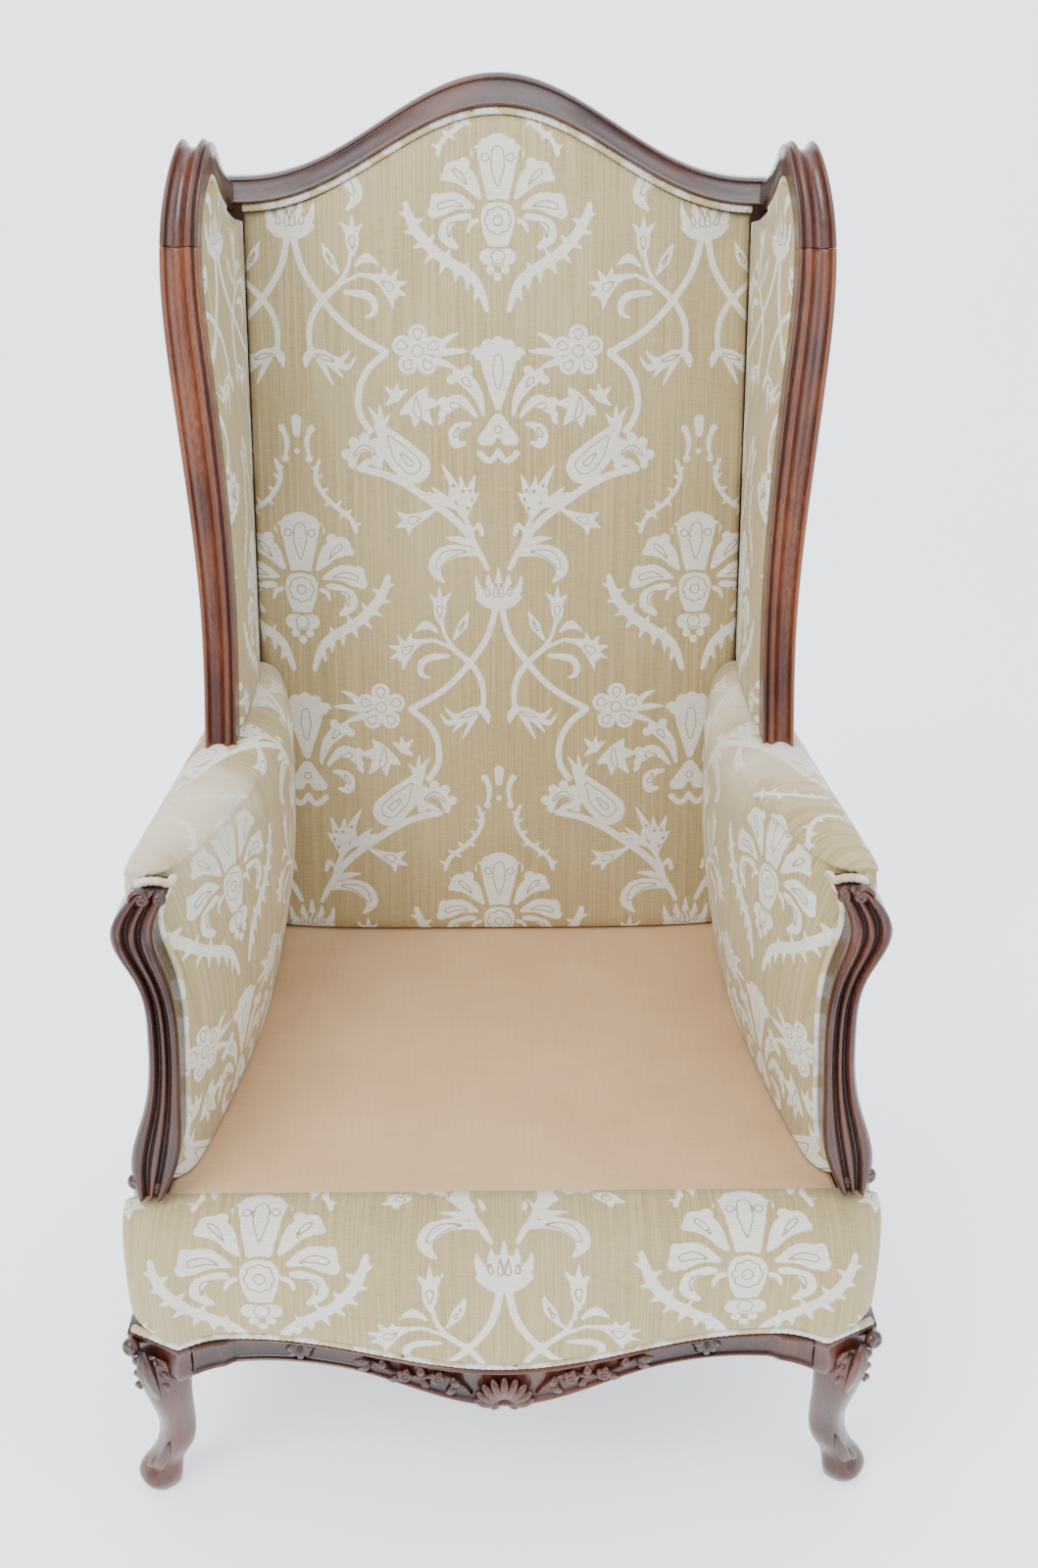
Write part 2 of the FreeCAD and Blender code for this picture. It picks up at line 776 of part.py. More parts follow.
def side_seat_rail(side):
    """Moulded side rail with a rebate for the cover above and one for the webbing below."""
    def rail_section(share):
        def place(depth, z):
            y = s.leg_back + (post_face(z) - s.leg_back) * share
            return Vector(side * (side_line(y) - depth), y, z)

        low = s.apron_end
        return section([
            (s.bead, low),
            (0.0, low + s.bead, s.bead, low + 2 * s.bead),
            (s.bead, s.show_top - s.bead),
            (0.4 * s.bead, s.show_top),
            (s.rebate, s.show_top),
            (s.rebate, s.rail_top),
            (s.rail_thick, s.rail_top),
            (s.rail_thick, s.web_level),
            (s.rail_thick - s.web_ledge, s.web_level),
            (s.rail_thick - s.web_ledge, low),
        ], place)

    rail = bore(skin([rail_section(0.0), rail_section(1.0)]), side_pins(side, False) + side_pins(side, True))
    for place, way in screw_places(side):
        rail = rail.cut(Part.makeCylinder(s.screw_r + s.clearance / 2, s.screw_length, place, way))
    return keep_shape(rail, side_name("side_seat_rail", side))


def cross_rail(label, low, high, thick):
    """A rail across the back between the posts, leaning with them."""
    line_at = "(Sizes.back_base + Sizes.back_pad_depth + Sizes.back_slope * ({z} - Sizes.deck_height))"
    corners = [(line_at.format(z=low), low), (f"{line_at.format(z=low)} + {thick}", low),
               (f"{line_at.format(z=high)} + {thick}", high), (line_at.format(z=high), high)]
    return keep(padded_body(label, "YZ_Plane", corners, "2 * Sizes.post_in"), label)


def arm_post(side):
    """Sawn post behind the facing, from the side rail to the arm rail."""
    levels = [s.rail_top, s.facing_low_z, s.facing_foot_z, s.facing_calf_z, s.facing_waist_z, s.facing_neck_z,
              s.arm_rail_low]
    half = s.arm_post_width / 2
    wires = []
    for z in levels:
        x = post_mid(z)
        y = max(facing_back(z), s.deck_front + s.clearance)
        wires.append(quad([(side * (x - half), y, z), (side * (x + half), y, z),
                           (side * (x + half), y + s.arm_post_depth, z),
                           (side * (x - half), y + s.arm_post_depth, z)]))
    return keep_shape(skin(wires), side_name("arm_post", side))


def arm_rails(side):
    """Top rail of the arm and the tacking rail above the seat."""
    width = s.arm_rail_width
    level = s.arm_rail_low
    member(side, "arm_rail", welt_back, post_face, level, s.arm_rail_high,
           arm_rail_inner(welt_back(level), level), s.arm_frame_in_back, width, width)

    def post_rear(z):
        return facing_back(z) + s.arm_post_depth

    inner = post_mid(s.tack_high) - s.arm_post_width / 2
    member(side, "arm_tack_rail", post_rear, post_face, s.tack_low, s.tack_high,
           inner, s.post_in, s.tack_thick, s.tack_thick)


def wing_tack_rail(side):
    """Slat up the back post that the wing covers are tacked to."""
    low = "(Sizes.deck_height + Sizes.wing_base_z_rise + 6)"
    high = "(Sizes.corner_fabric - 30)"
    line_at = "(Sizes.back_base + Sizes.back_pad_depth + Sizes.back_slope * ({z} - Sizes.deck_height))"
    corners = [(f"{line_at.format(z=low)} - Sizes.wing_slat_depth", low), (line_at.format(z=low), low),
               (line_at.format(z=high), high), (f"{line_at.format(z=high)} - Sizes.wing_slat_depth", high)]
    label = side_name("wing_tack_rail", side)
    body = padded_body(label, "YZ_Plane", corners, "Sizes.wing_slat_width")
    outer = s.post_in + s.post_width
    body.Placement = Placement(Vector(side * (outer - s.wing_slat_width / 2), 0, 0), Rotation())
    return keep(body, label)


def block_plan(side, y, step):
    """Corners of a glue block: the seat frame's corner, then along the side rail and along the front."""
    inner = side_line(y) - s.rail_thick
    inner_far = side_line(y + step) - s.rail_thick
    return [(side * inner, y), (side * inner_far, y + step), (side * (inner - s.block_leg), y)]


def block_places():
    """The four corners the glue blocks stand in: side, depth and the way along the side rail."""
    rear_y = post_face(s.web_level + s.block_over_web)
    return [(side, y, step) for side in (-1, 1) for y, step in ((s.leg_back, s.block_leg), (rear_y, -s.block_leg))]


def screw_places(side):
    """Where each screw's head seats in its block, and the way it is driven into the side rail."""
    z = s.web_level + s.block_over_web + s.block_thick / 2
    places = []
    for hand, y, step in block_places():
        if hand == side:
            for share in (0.22, 0.52):
                at = y + step * share
                places.append((Vector(side * (side_line(at) - s.rail_thick - s.screw_seat), at, z),
                               Vector(side, 0, 0)))
    return places


def corner_blocks():
    """Four glue blocks in the corners of the seat frame, bored for their screws."""
    low = s.web_level + s.block_over_web
    blocks = []
    for side, y, step in block_places():
        base = closed([Vector(x, py, low) for x, py in block_plan(side, y, step)])
        blocks.append(Part.Face(base).extrude(Vector(0, 0, s.block_thick)))
    whole = Part.makeCompound(blocks)
    for side in (-1, 1):
        for place, way in screw_places(side):
            whole = whole.cut(Part.makeCylinder(s.screw_r + s.clearance / 2, s.screw_length, place, way))
            whole = whole.cut(Part.makeCylinder(s.screw_head_r + s.clearance, s.block_leg, place, way * -1))
    return keep_shape(whole, "corner_blocks")


def block_screws():
    """Screws through the glue blocks into the side rails."""
    screws = []
    for side in (-1, 1):
        for place, way in screw_places(side):
            shank = Part.makeCylinder(s.screw_r, s.screw_length - s.clearance, place, way)
            screws.append(shank.fuse(Part.makeCylinder(s.screw_head_r, s.screw_head, place, way * -1)))
    return keep_shape(Part.makeCompound(screws), "block_screws")


def frame_dowels():
    """Dowels of the seat frame's joints."""
    places = []
    for side in (-1, 1):
        places += rail_pins(side) + side_pins(side, False) + side_pins(side, True)
    return keep_shape(Part.makeCompound([pin(middle, way, s.dowel_length, s.dowel_r) for middle, way in places]),
                      "frame_dowels")


# Suspension


def seat_webbing():
    """Two layers of webbing straps under the seat frame."""
    half = s.web_width / 2
    rear = post_face(s.web_level) + s.rail_seat_thick
    top = s.web_level
    straps = []
    for x in (-1.5 * s.web_pitch, -0.5 * s.web_pitch, 0.5 * s.web_pitch, 1.5 * s.web_pitch):
        front = max(front_line(x - half), front_line(x + half), front_line(x)) + s.rail_thick - s.web_ledge + 1
        straps.append(Part.makeBox(s.web_width, rear - front, s.web_thick,
                                   Vector(x - half, front, top - s.web_thick)))
    for i in range(4):
        y = s.spring_mid_y + (i - 1.5) * s.web_pitch
        reach = min(side_line(y - half), side_line(y + half)) - s.rail_thick + s.web_ledge - 1
        straps.append(Part.makeBox(2 * reach, s.web_width, s.web_thick,
                                   Vector(-reach, y - half, top - 2 * s.web_thick)))
    return keep_shape(Part.makeCompound(straps), "seat_webbing")


def back_webbing():
    """Straps across the front of the back posts."""
    straps = []
    reach = s.post_in + s.web_lap
    for z in steps_between(s.tack_high + 80, s.corner_fabric - 90, 4):
        wires = []
        for x in (-reach, reach):
            wires.append(quad([(x, post_face(z) - s.web_thick, z), (x, post_face(z), z),
                               (x, post_face(z + s.web_width), z + s.web_width),
                               (x, post_face(z + s.web_width) - s.web_thick, z + s.web_width)]))
        straps.append(skin(wires))
    return keep_shape(Part.makeCompound(straps), "back_webbing")


def arm_webbing(side):
    """Upright straps in the arm, from the tacking rail to the underside of the arm rail."""
    def tack_inner(y):
        front = facing_back(s.tack_high) + s.arm_post_depth
        start = post_mid(s.tack_high) - s.arm_post_width / 2
        return start + (s.post_in - start) * (y - front) / (post_face(s.tack_high) - front)

    def rail_inner(y):
        return arm_rail_inner(y, s.arm_rail_low)

    straps = []
    for share in (0.3, 0.6):
        rings = []
        for z, inner in ((s.tack_high, tack_inner), (s.arm_rail_low, rail_inner)):
            near = welt_back(z) + (post_face(z) - welt_back(z)) * share
            far = near + s.web_width
            rings.append(quad([(side * (inner(near) + 1), near, z),
                               (side * (inner(near) + 1 + s.web_thick), near, z),
                               (side * (inner(far) + 1 + s.web_thick), far, z),
                               (side * (inner(far) + 1), far, z)]))
        straps.append(skin(rings))
    return keep_shape(Part.makeCompound(straps), side_name("arm_webbing", side))


def seat_springs():
    """Nine waisted coil springs standing on the webbing."""
    count = int(s.spring_turns) * 8
    low = s.web_level + s.spring_wire / 2
    high = s.hessian_level - s.spring_wire / 2
    half = s.spring_wire / 2
    coil = []
    for i in range(count + 1):
        share = i / count
        turn = 2 * math.pi * s.spring_turns * share
        radius = s.spring_radius * (1.0 - 0.25 * math.sin(math.pi * share))
        z = low + (high - low) * share
        way = Vector(math.cos(turn), math.sin(turn), 0)
        coil.append([way * (radius - half) + Vector(0, 0, z - half),
                     way * (radius + half) + Vector(0, 0, z - half),
                     way * radius + Vector(0, 0, z + half)])
    spring = skin(coil)
    springs = []
    for i in (-1, 0, 1):
        for j in (-1, 0, 1):
            copy = spring.copy()
            copy.translate(Vector(i * s.spring_pitch_x, s.spring_mid_y + j * s.spring_pitch_y, 0))
            springs.append(copy)
    return keep_shape(Part.makeCompound(springs), "seat_springs")


def seat_layer(label, low, high, front_half, rear_half, rear_gap):
    """A flat layer of the seat, from the border's back to the back frame."""
    front = "Sizes.deck_front + Sizes.clearance"
    rear = ("Sizes.back_base + Sizes.back_pad_depth + Sizes.back_slope * "
            f"({low} - Sizes.deck_height) - {rear_gap}")
    corners = [(f"-({front_half})", front), (front_half, front), (rear_half, rear), (f"-({rear_half})", rear)]
    body = padded_body(label, "XY_Plane", corners, f"{high} - ({low})", midplane=False)
    body.setExpression("Placement.Base.z", low)
    return keep(body, label)


def seat_layers():
    """Hessian over the springs, the stuffing and the platform cloth; and the dust cover below."""
    front_half = "Sizes.leg_out - Sizes.arm_post_foot_inset - Sizes.arm_post_width / 2 - 4"
    rear_half = "Sizes.post_in - 2"
    hessian = "Sizes.deck_height + Sizes.hessian_level_rise"
    over = f"{hessian} + Sizes.cloth"
    deck = "Sizes.deck_height - Sizes.deck_cloth"
    seat_layer("spring_hessian", hessian, over, front_half, rear_half, "1")
    seat_layer("seat_stuffing", over, deck, front_half, rear_half, "1")
    seat_layer("seat_deck_cover", deck, "Sizes.deck_height", front_half, rear_half, "1")
    web = "Sizes.web_level - 2 * Sizes.web_thick"
    inner = "Sizes.leg_out - 4 - Sizes.rail_thick + 8"
    seat_layer("dust_cover", f"{web} - Sizes.cloth", web, inner, "Sizes.post_in - 4", "1")


# Upholstery


def front_border():
    """Bull-nosed border over the front rail, drawn in at the ends."""
    back = s.deck_front
    top = s.deck_height
    low = s.show_top + 2 * s.welt_r + 2 * s.clearance

    def border_section(x, shrink):
        face = front_line(min(abs(x), s.leg_out - 1) * (1 if x > 0 else -1)) - 1.0
        nose = face - s.border_nose + shrink
        mid = low + (top - low) * 0.52
        drop = shrink * 0.9
        reach = min(40.0, 0.8 * (back - nose))

        def place(y, z):
            return Vector(x, y, z)

        return section([
            (back, low + shrink * 0.4),
            (face + shrink + 1, low + shrink * 0.4),
            (nose, (low + mid) / 2 + 8, nose + 1.5, mid + 12),
            (nose + 0.32 * reach, top - 14 - drop * 0.7, nose + reach, top - 2 - drop),
            (back, top - drop),
        ], place, rounds=4)

    out = s.border_out
    ends = [(out, 26.0), (out - 3, 14.0), (out - 9, 7.0), (out - 20, 2.5), (out - 36, 0.0), (s.leg_arris_x, 0.0)]
    inner = steps_between(-s.leg_arris_x, s.leg_arris_x, 17)[1:-1]
    stations = [(-x, shrink) for x, shrink in ends] + [(x, 0.0) for x in inner] + list(reversed(ends))
    form = skin([border_section(x, shrink) for x, shrink in stations])
    plan = [(x, front_line(x) + s.rebate - s.clearance) for x in rail_stations()]
    corner = s.leg_out - s.rebate + s.clearance
    plan = ([(-corner, back + 1), (-corner, s.leg_ear_y + s.rebate - s.clearance)] + plan
            + [(corner, s.leg_ear_y + s.rebate - s.clearance), (corner, back + 1)])
    base = closed([Vector(x, y, low - 4) for x, y in plan])
    cavity = Part.Face(base).extrude(Vector(0, 0, s.rail_top + s.clearance - low + 4))
    return keep_shape(form.cut(cavity), "front_border")


def inside_back_pad():
    """Crowned back pad that fills the frame up to the crest's welt."""
    gap = 2 * s.welt_r + 2 * s.clearance
    rear_gap = s.back_pad_depth - s.web_thick - s.clearance
    low = s.deck_height + s.clearance

    def pad_section(x):
        share = abs(x) / s.back_pad_half
        edge = s.back_crown * share ** 4
        high = crest_low(x) - gap

        def place(depth, z):
            return Vector(x, back_face(z) + edge + depth, z)

        rear = rear_gap - edge
        return section([
            (rear, low), (9.0, low), (2.5, low + 9), (0.0, low + 26),
            (0.0, high - 24), (2.0, high - 8), (8.0, high), (rear, high),
        ], place)

    half = s.back_pad_half
    stations = [-half] + steps_between(-half + 8, half - 8, 15) + [half]
    return keep_shape(skin([pad_section(x) for x in stations]), "inside_back_pad")


def arm_pad(side):
    """Padded arm: bulged inside, rolled over the arm rail, drawn in to the facing."""
    low = s.deck_height + s.clearance
    rail = s.arm_rail_high + s.clearance
    rear_gap = s.back_crown * 0.45

    def pad_section(share):
        ease = 1 - math.exp(-7 * share)
        seat = bow(share, s.arm_seat_front, s.arm_seat_mid, s.arm_seat_back)
        bulge = bow(share, s.arm_bulge_front, s.arm_bulge_mid, s.arm_bulge_back)
        roll = bow(share, s.arm_roll_front, s.arm_roll_mid, s.arm_roll_back)
        inner = s.arm_frame_in + (s.arm_frame_in_back - s.arm_frame_in) * share - s.clearance
        gap = s.clearance
        top = s.arm_top - 4 * (1 - ease)

        def at(z):
            rear = back_face(z) + rear_gap
            return welt_back(z) + (rear - welt_back(z)) * share

        def place(x, z):
            return Vector(side * x, at(z), z)

        under = s.arm_rail_low + gap
        in_low = arm_rail_inner(at(under), under) - gap
        in_high = arm_rail_inner(at(rail), rail) - gap
        wide = roll - bulge
        over = s.arm_rail_width + 2 * gap
        return section([
            (inner, low),
            (min(seat, inner - 1), low),
            ((seat + bulge) / 2 - 4, low + 0.24 * (top - low), bulge, low + 0.51 * (top - low)),
            (bulge + 1, top - 52),
            (bulge + 0.16 * wide, top - 14, bulge + 0.5 * wide, top),
            (roll - 0.16 * wide, top - 12, roll, top - 42),
            (roll - 4, under),
            (in_low + over, under),
            (in_high + over, rail),
            (in_high, rail),
            (in_low, under),
            (inner, under),
        ], place)

    form = skin([pad_section(share) for share in steps_between(0.0, 1.0, 9)])
    form = form.cut(stile_foot(side, grow=3 * s.clearance))
    return keep_shape(form, side_name("arm_pad", side))


def wing_path(side, share, across_shift, depth):
    """A point beside the wing frame's inner edge: outward of it and behind its face."""
    inner = wing_edges(side)[1]
    across, out = wing_axes(side, share)
    return inner.value(along(inner, share)) - across * across_shift - out * depth


def wing_edge_at(which, z):
    """The rising part of the wing frame's outer or inner edge at a height, on the right-hand side."""
    curve = wing_edges(1)[0 if which == "out" else 1]
    level = Part.Plane(Vector(0, 0, z), Vector(0, 0, 1))
    found = min(curve.intersectCS(level)[0], key=lambda point: point.Y)
    return Vector(found.X, found.Y, found.Z)


def wing_slab(side, thick, inner_line):
    """A slab up the wing through level strips: inner_line gives (x, y) points from front to rear."""
    wires = []
    for z in steps_between(s.wing_base_z + s.clearance, s.wing_crown_z - 12, 10):
        line = inner_line(z)
        wires.append(quad([(side * x, y, z) for x, y in line]
                          + [(side * (x + thick), y, z) for x, y in reversed(line)]))
    return skin(wires)


def wing_outline(gap):
    """The wing's side outline inside its frame, as a slab along X to trim the covers with."""
    reach = 2 * s.leg_out
    front = []
    for share in steps_between(0.0, 1.0, 23):
        point = wing_path(1, share, 0.0, s.wing_depth + gap)
        front.append(Vector(-reach, point.y, point.z))
    front[0].z = s.wing_base_z
    far = front[-1].y + reach
    front += [Vector(-reach, far, front[-1].z - s.wing_depth), Vector(-reach, far, s.wing_base_z)]
    return Part.Face(closed(front)).extrude(Vector(2 * reach, 0, 0))


def inside_wing_pad(side):
    """Padded lining of the wing between its frame and the back pad."""
    def inner_line(z):
        front = wing_edge_at("in", z)
        rear_x = s.back_pad_half + s.clearance
        seam_y = back_face(z) + s.back_crown
        middle = ((front.x + rear_x) / 2 - s.wing_crown, (front.y + seam_y) / 2)
        return [(front.x, front.y), middle, (rear_x, seam_y), (rear_x, post_face(z) - s.web_thick - s.clearance)]

    slab = wing_slab(side, s.wing_pad_thick, inner_line)
    form = slab.common(wing_outline(2 * s.welt_r + 4 * s.clearance))
    return keep_shape(form, side_name("inside_wing_pad", side))


def outside_wing_panel(side):
    """Flat cover over the outside of the wing and down the post behind the arm."""
    flush = s.post_in + s.post_width + s.clearance

    def inner_line(z):
        front = wing_edge_at("out", z)
        slat = post_face(z) - s.wing_slat_depth - s.clearance
        return [(front.x - s.panel_thick - 1, front.y), (flush, slat), (flush, post_face(z) + s.post_depth)]

    form = wing_outline(4 * s.clearance).common(wing_slab(side, s.panel_thick, inner_line))
    strip = []
    for z in (s.arm_rail_low + s.clearance, s.wing_base_z + 1):
        front = back_face(z) + s.back_crown * 0.45 + s.clearance
        rear = post_face(z) + s.post_depth
        strip.append(quad([(side * flush, front, z), (side * (flush + s.panel_thick), front, z),
                           (side * (flush + s.panel_thick), rear, z), (side * flush, rear, z)]))
    return keep_shape(form.fuse(skin(strip)), side_name("outside_wing_panel", side))


def outside_arm_panel(side):
    """Cover over the outside of the arm, from under the roll to the side rail."""
    low = s.show_top + 2 * s.welt_r + 2 * s.clearance
    thick = s.panel_thick
    levels = [low, s.facing_low_z, s.facing_calf_z, s.facing_waist_z, s.facing_neck_z,
              s.arm_rail_low - s.clearance]

    def skin_section(share):
        def outer(z):
            rear = s.post_in + s.post_width + thick + s.clearance
            front = facing_edge("out", z) - 1.0 if z > s.facing_low_z + 1 else s.leg_out - 6.5
            return front + (rear - front) * share

        def place(x, z):
            front = facing_back(z) + s.clearance
            rear = post_face(z) + s.post_depth
            return Vector(side * x, front + (rear - front) * share, z)

        return ([place(outer(z), z) for z in levels]
                + [place(outer(z) - thick, z) for z in reversed(levels)])

    form = skin([skin_section(share) for share in steps_between(0.0, 1.0, 5)])
    front = s.deck_front + s.clearance
    reach = 2 * s.leg_out
    waste = Part.makeBox(2 * reach, reach, s.arm_rail_low, Vector(-reach, front - reach, 0))
    return keep_shape(form.cut(waste), side_name("outside_arm_panel", side))


def outside_back_panel():
    """Cover over the outside of the back between the posts, under the crest."""
    def strip(x):
        low = s.show_top + 4
        high = crest_low(x) - s.clearance
        rear = s.post_depth

        def place(depth, z):
            return Vector(x, post_face(z) + depth, z)

        inside = rear + s.clearance
        outside = inside + s.panel_thick
        low_z = s.rail_top + s.panel_low_up
        high_z = s.rail_top + s.panel_high_up
        return [place(inside + s.panel_kick, low), place(outside + s.panel_kick, low),
                place(outside + s.panel_low_ease, low_z), place(outside, high_z),
                place(outside, high), place(inside, high),
                place(inside, high_z), place(inside + s.panel_low_ease, low_z)]

    half = s.post_in + s.post_width - 4
    return keep_shape(skin([strip(x) for x in steps_between(-half, half, 13)]), "outside_back_panel")


# Welts


def tube(points, radius, sides=5):
    """A round cord through the points, its rings square to the path."""
    rings = []
    for i, point in enumerate(points):
        before = points[max(i - 1, 0)]
        after = points[min(i + 1, len(points) - 1)]
        along = (after - before).normalize()
        first = along.cross(Vector(0.3, 1, 0.2)).normalize()
        second = along.cross(first).normalize()
        rings.append([point + first * (radius * math.cos(2 * math.pi * k / sides))
                      + second * (radius * math.sin(2 * math.pi * k / sides)) for k in range(sides)])
    return skin(rings)


def front_welt():
    """Double-folded welt along the front rail's upper edge."""
    z = s.show_top + s.clearance + s.welt_r
    ends = [s.leg_out - 6, (s.leg_out + s.leg_arris_x) / 2 - 3, s.leg_arris_x]
    stations = [-x for x in ends] + rail_stations() + ends[::-1]
    points = [Vector(x, front_line(x) + s.rebate / 2 - s.clearance / 2, z) for x in stations]
    return keep_shape(tube(points, s.welt_r - s.clearance), "front_welt")


def side_welt(side):
    """Welt along the side rail's upper edge."""
    z = s.show_top + s.clearance + s.welt_r
    ends = []
    for y in (s.leg_back + 1, post_face(z) - 1):
        ends.append(Vector(side * (side_line(y) - s.rebate / 2), y, z))
    return keep_shape(tube(ends, s.welt_r - s.clearance), side_name("side_welt", side))


def crest_welt():
    """Welt under the crest rail."""
    reach = s.back_pad_half - 1
    drop = s.welt_r + s.clearance
    points = [Vector(x, back_face(crest_low(x)) + 7, crest_low(x) - drop)
              for x in steps_between(-reach, reach, 25)]
    return keep_shape(tube(points, s.welt_r - s.clearance), "crest_welt")


def wing_welt(side):
    """Welt behind the wing frame's inner edge."""
    points = []
    for share in steps_between(0.0, 0.93, 15):
        point = wing_path(side, share, s.welt_r + 0.5, s.wing_depth + s.welt_r + s.clearance)
        if point.z > s.wing_base_z + s.clearance and point.y < back_face(point.z) - 4:
            points.append(point)
    return keep_shape(tube(points, s.welt_r - s.clearance), side_name("wing_welt", side))


def facing_welt(side):
    """Welt round the back of the facing: up its inner edge and over its top."""
    depth = s.welt_r + s.clearance
    points = []
    for z in steps_between(s.facing_low_z + 12, s.facing_top_z - 4, 11):
        points.append(Vector(side * facing_edge("in", z), facing_back(z) + depth, z))
    top = s.facing_top_z + s.welt_r * 0.6
    for share in (0.15, 0.5, 0.85):
        x = s.facing_top_in + (s.facing_top_out - s.facing_top_in) * share
        points.append(Vector(side * x, facing_back(top) + depth, top))
    return keep_shape(tube(points, s.welt_r - s.clearance), side_name("facing_welt", side))


front_rail()
crest = crest_rail()
cross_rail("back_seat_rail", "Sizes.web_level", "Sizes.rail_top", "Sizes.rail_seat_thick")
cross_rail("back_tack_rail", "(Sizes.deck_height + Sizes.tack_low_rise)",
           "(Sizes.deck_height + Sizes.tack_high_rise)", "Sizes.tack_thick")
corner_blocks()
block_screws()
frame_dowels()
seat_webbing()
back_webbing()
seat_springs()
seat_layers()
front_border()
inside_back_pad()
outside_back_panel()
front_welt()
crest_welt()
for hand in (-1, 1):
    front_leg(hand)
    post = back_post(hand)
    wing_stile(hand)
    wing_ear(hand, crest, post)
    arm_facing(hand)
    side_seat_rail(hand)
    arm_post(hand)
    arm_rails(hand)
    arm_webbing(hand)
    wing_tack_rail(hand)
    arm_pad(hand)
    inside_wing_pad(hand)
    outside_arm_panel(hand)
    outside_wing_panel(hand)
    side_welt(hand)
    wing_welt(hand)
    facing_welt(hand)

doc.recompute()
os.makedirs("parts", exist_ok=True)
for piece in nodes:
    if "Invalid" in piece.State or "Error" in piece.State:
        raise RuntimeError(f"{piece.Label} did not compute")
    if piece.Shape.isNull() or not piece.Shape.isValid():
        raise RuntimeError(f"{piece.Label} is not a valid shape")
for piece in nodes:
    piece.Shape.exportStep(os.path.join("parts", f"{piece.Label}.step"))
    box = piece.Shape.BoundBox
    print(piece.Label, len(piece.Shape.Solids), round(piece.Shape.Volume / 1000.0, 1),
          [round(v, 1) for v in (box.XMin, box.YMin, box.ZMin, box.XMax, box.YMax, box.ZMax)])
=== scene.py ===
import json
import bpy
import numpy as np
from mathutils import Matrix, Vector

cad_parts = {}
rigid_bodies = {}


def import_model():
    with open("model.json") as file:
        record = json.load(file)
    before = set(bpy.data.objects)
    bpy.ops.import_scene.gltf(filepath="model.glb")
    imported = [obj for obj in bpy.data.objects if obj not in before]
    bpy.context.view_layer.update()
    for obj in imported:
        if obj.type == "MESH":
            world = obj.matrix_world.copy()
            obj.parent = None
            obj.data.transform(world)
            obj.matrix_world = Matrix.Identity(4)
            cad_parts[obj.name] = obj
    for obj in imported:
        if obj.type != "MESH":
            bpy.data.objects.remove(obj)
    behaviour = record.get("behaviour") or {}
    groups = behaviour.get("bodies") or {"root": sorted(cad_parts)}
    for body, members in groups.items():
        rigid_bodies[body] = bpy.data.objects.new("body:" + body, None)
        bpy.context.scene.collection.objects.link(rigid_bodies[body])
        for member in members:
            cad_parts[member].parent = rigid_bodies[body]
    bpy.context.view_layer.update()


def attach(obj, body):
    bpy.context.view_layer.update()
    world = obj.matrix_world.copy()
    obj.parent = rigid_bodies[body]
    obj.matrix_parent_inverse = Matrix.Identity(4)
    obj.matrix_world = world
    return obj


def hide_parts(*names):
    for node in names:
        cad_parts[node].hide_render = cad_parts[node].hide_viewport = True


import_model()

# Ruling sizes of the chair, in metres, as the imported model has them

DECK = 0.3286
CREST_TOP, CREST_CLOTH = 1.2415, 1.2113
CORNER_TOP, CORNER_CLOTH = 1.141, 1.117
CREST_HALF, BACK_HALF, RAIL_HALF = 0.278, 0.2676, 0.284
SHOW_TOP = 0.207
LEG_ARRIS, LEG_OUT, LEG_BACK = (0.295, -0.363), 0.346, -0.303
FACING_LOW, FACING_TOP, FACING_DEPTH = 0.337, 0.617, 0.028
ARM_SEAM = 0.5655
BORDER_BACK = -0.2905
SLOPE = 0.19
STRETCH = np.hypot(1.0, SLOPE)

# The back posts' front and rear, measured back from the back's line, and their outer side
POST_FACE, POST_REAR, POST_OUT = 0.024, 0.054, 0.3048

# A cord's radius, the clearance between neighbours, the room a cord takes, and an outside cover's thickness
WELT = 0.0042
CLEAR = 0.0003
OVER_WELT = 2 * (WELT + CLEAR)
COVER = 0.0042

HANDS = ((-1, "left"), (1, "right"))


# Ruling lines


def back_line(z):
    """Y of the middle of the inside back at a height: a straight line that leans backwards."""
    return 0.1717 + SLOPE * (z - DECK)


def arch(x):
    """Share of the crest's rise: a raised cosine of x, a little sharpened."""
    share = np.minimum(np.abs(x) / CREST_HALF, 1.0)
    return ((1 + np.cos(np.pi * share)) / 2) ** 1.2


def crest_low(x):
    """Height of the crest's lower edge: the corners plus the arch."""
    return CORNER_CLOTH + (CREST_CLOTH - CORNER_CLOTH) * arch(x)


def crest_high(x):
    """Height of the crest's upper edge."""
    return CORNER_TOP + (CREST_TOP - CORNER_TOP) * arch(x)


def front_line(x):
    """Y of the seat's front: a bow in the middle, a hollow quarter, out to the leg's corner and back."""
    x = np.abs(x)
    bend, level = 0.25, -0.349
    arris_x, arris_y = LEG_ARRIS
    bow = level - 0.041 * ((1 + np.cos(np.pi * np.minimum(x / bend, 1.0))) / 2) ** 1.1
    corner = level + (arris_y - level) * np.clip((x - bend) / (arris_x - bend), 0, 1) ** 2
    past = np.clip((x - arris_x) / (LEG_OUT - arris_x), 0, 1)
    return np.where(x < bend, bow, np.where(x < arris_x, corner, arris_y + 0.026 * past))


def apron(x):
    """Height of the front rail's lower edge: a drop in the middle, up at the quarters, down to the legs."""
    x = np.abs(x)
    bend, level = 0.15, 0.184
    drop = level - 0.022 * (1 + np.cos(np.pi * np.minimum(x / bend, 1.0))) / 2
    return np.where(x < bend, drop, level - 0.010 * np.clip((x - bend) / (RAIL_HALF - bend), 0, 1) ** 2)


def facing_front(z):
    """Y of the arm facing's face, which leans with the arm."""
    return -0.3055 + 0.2206 * (z - FACING_LOW)


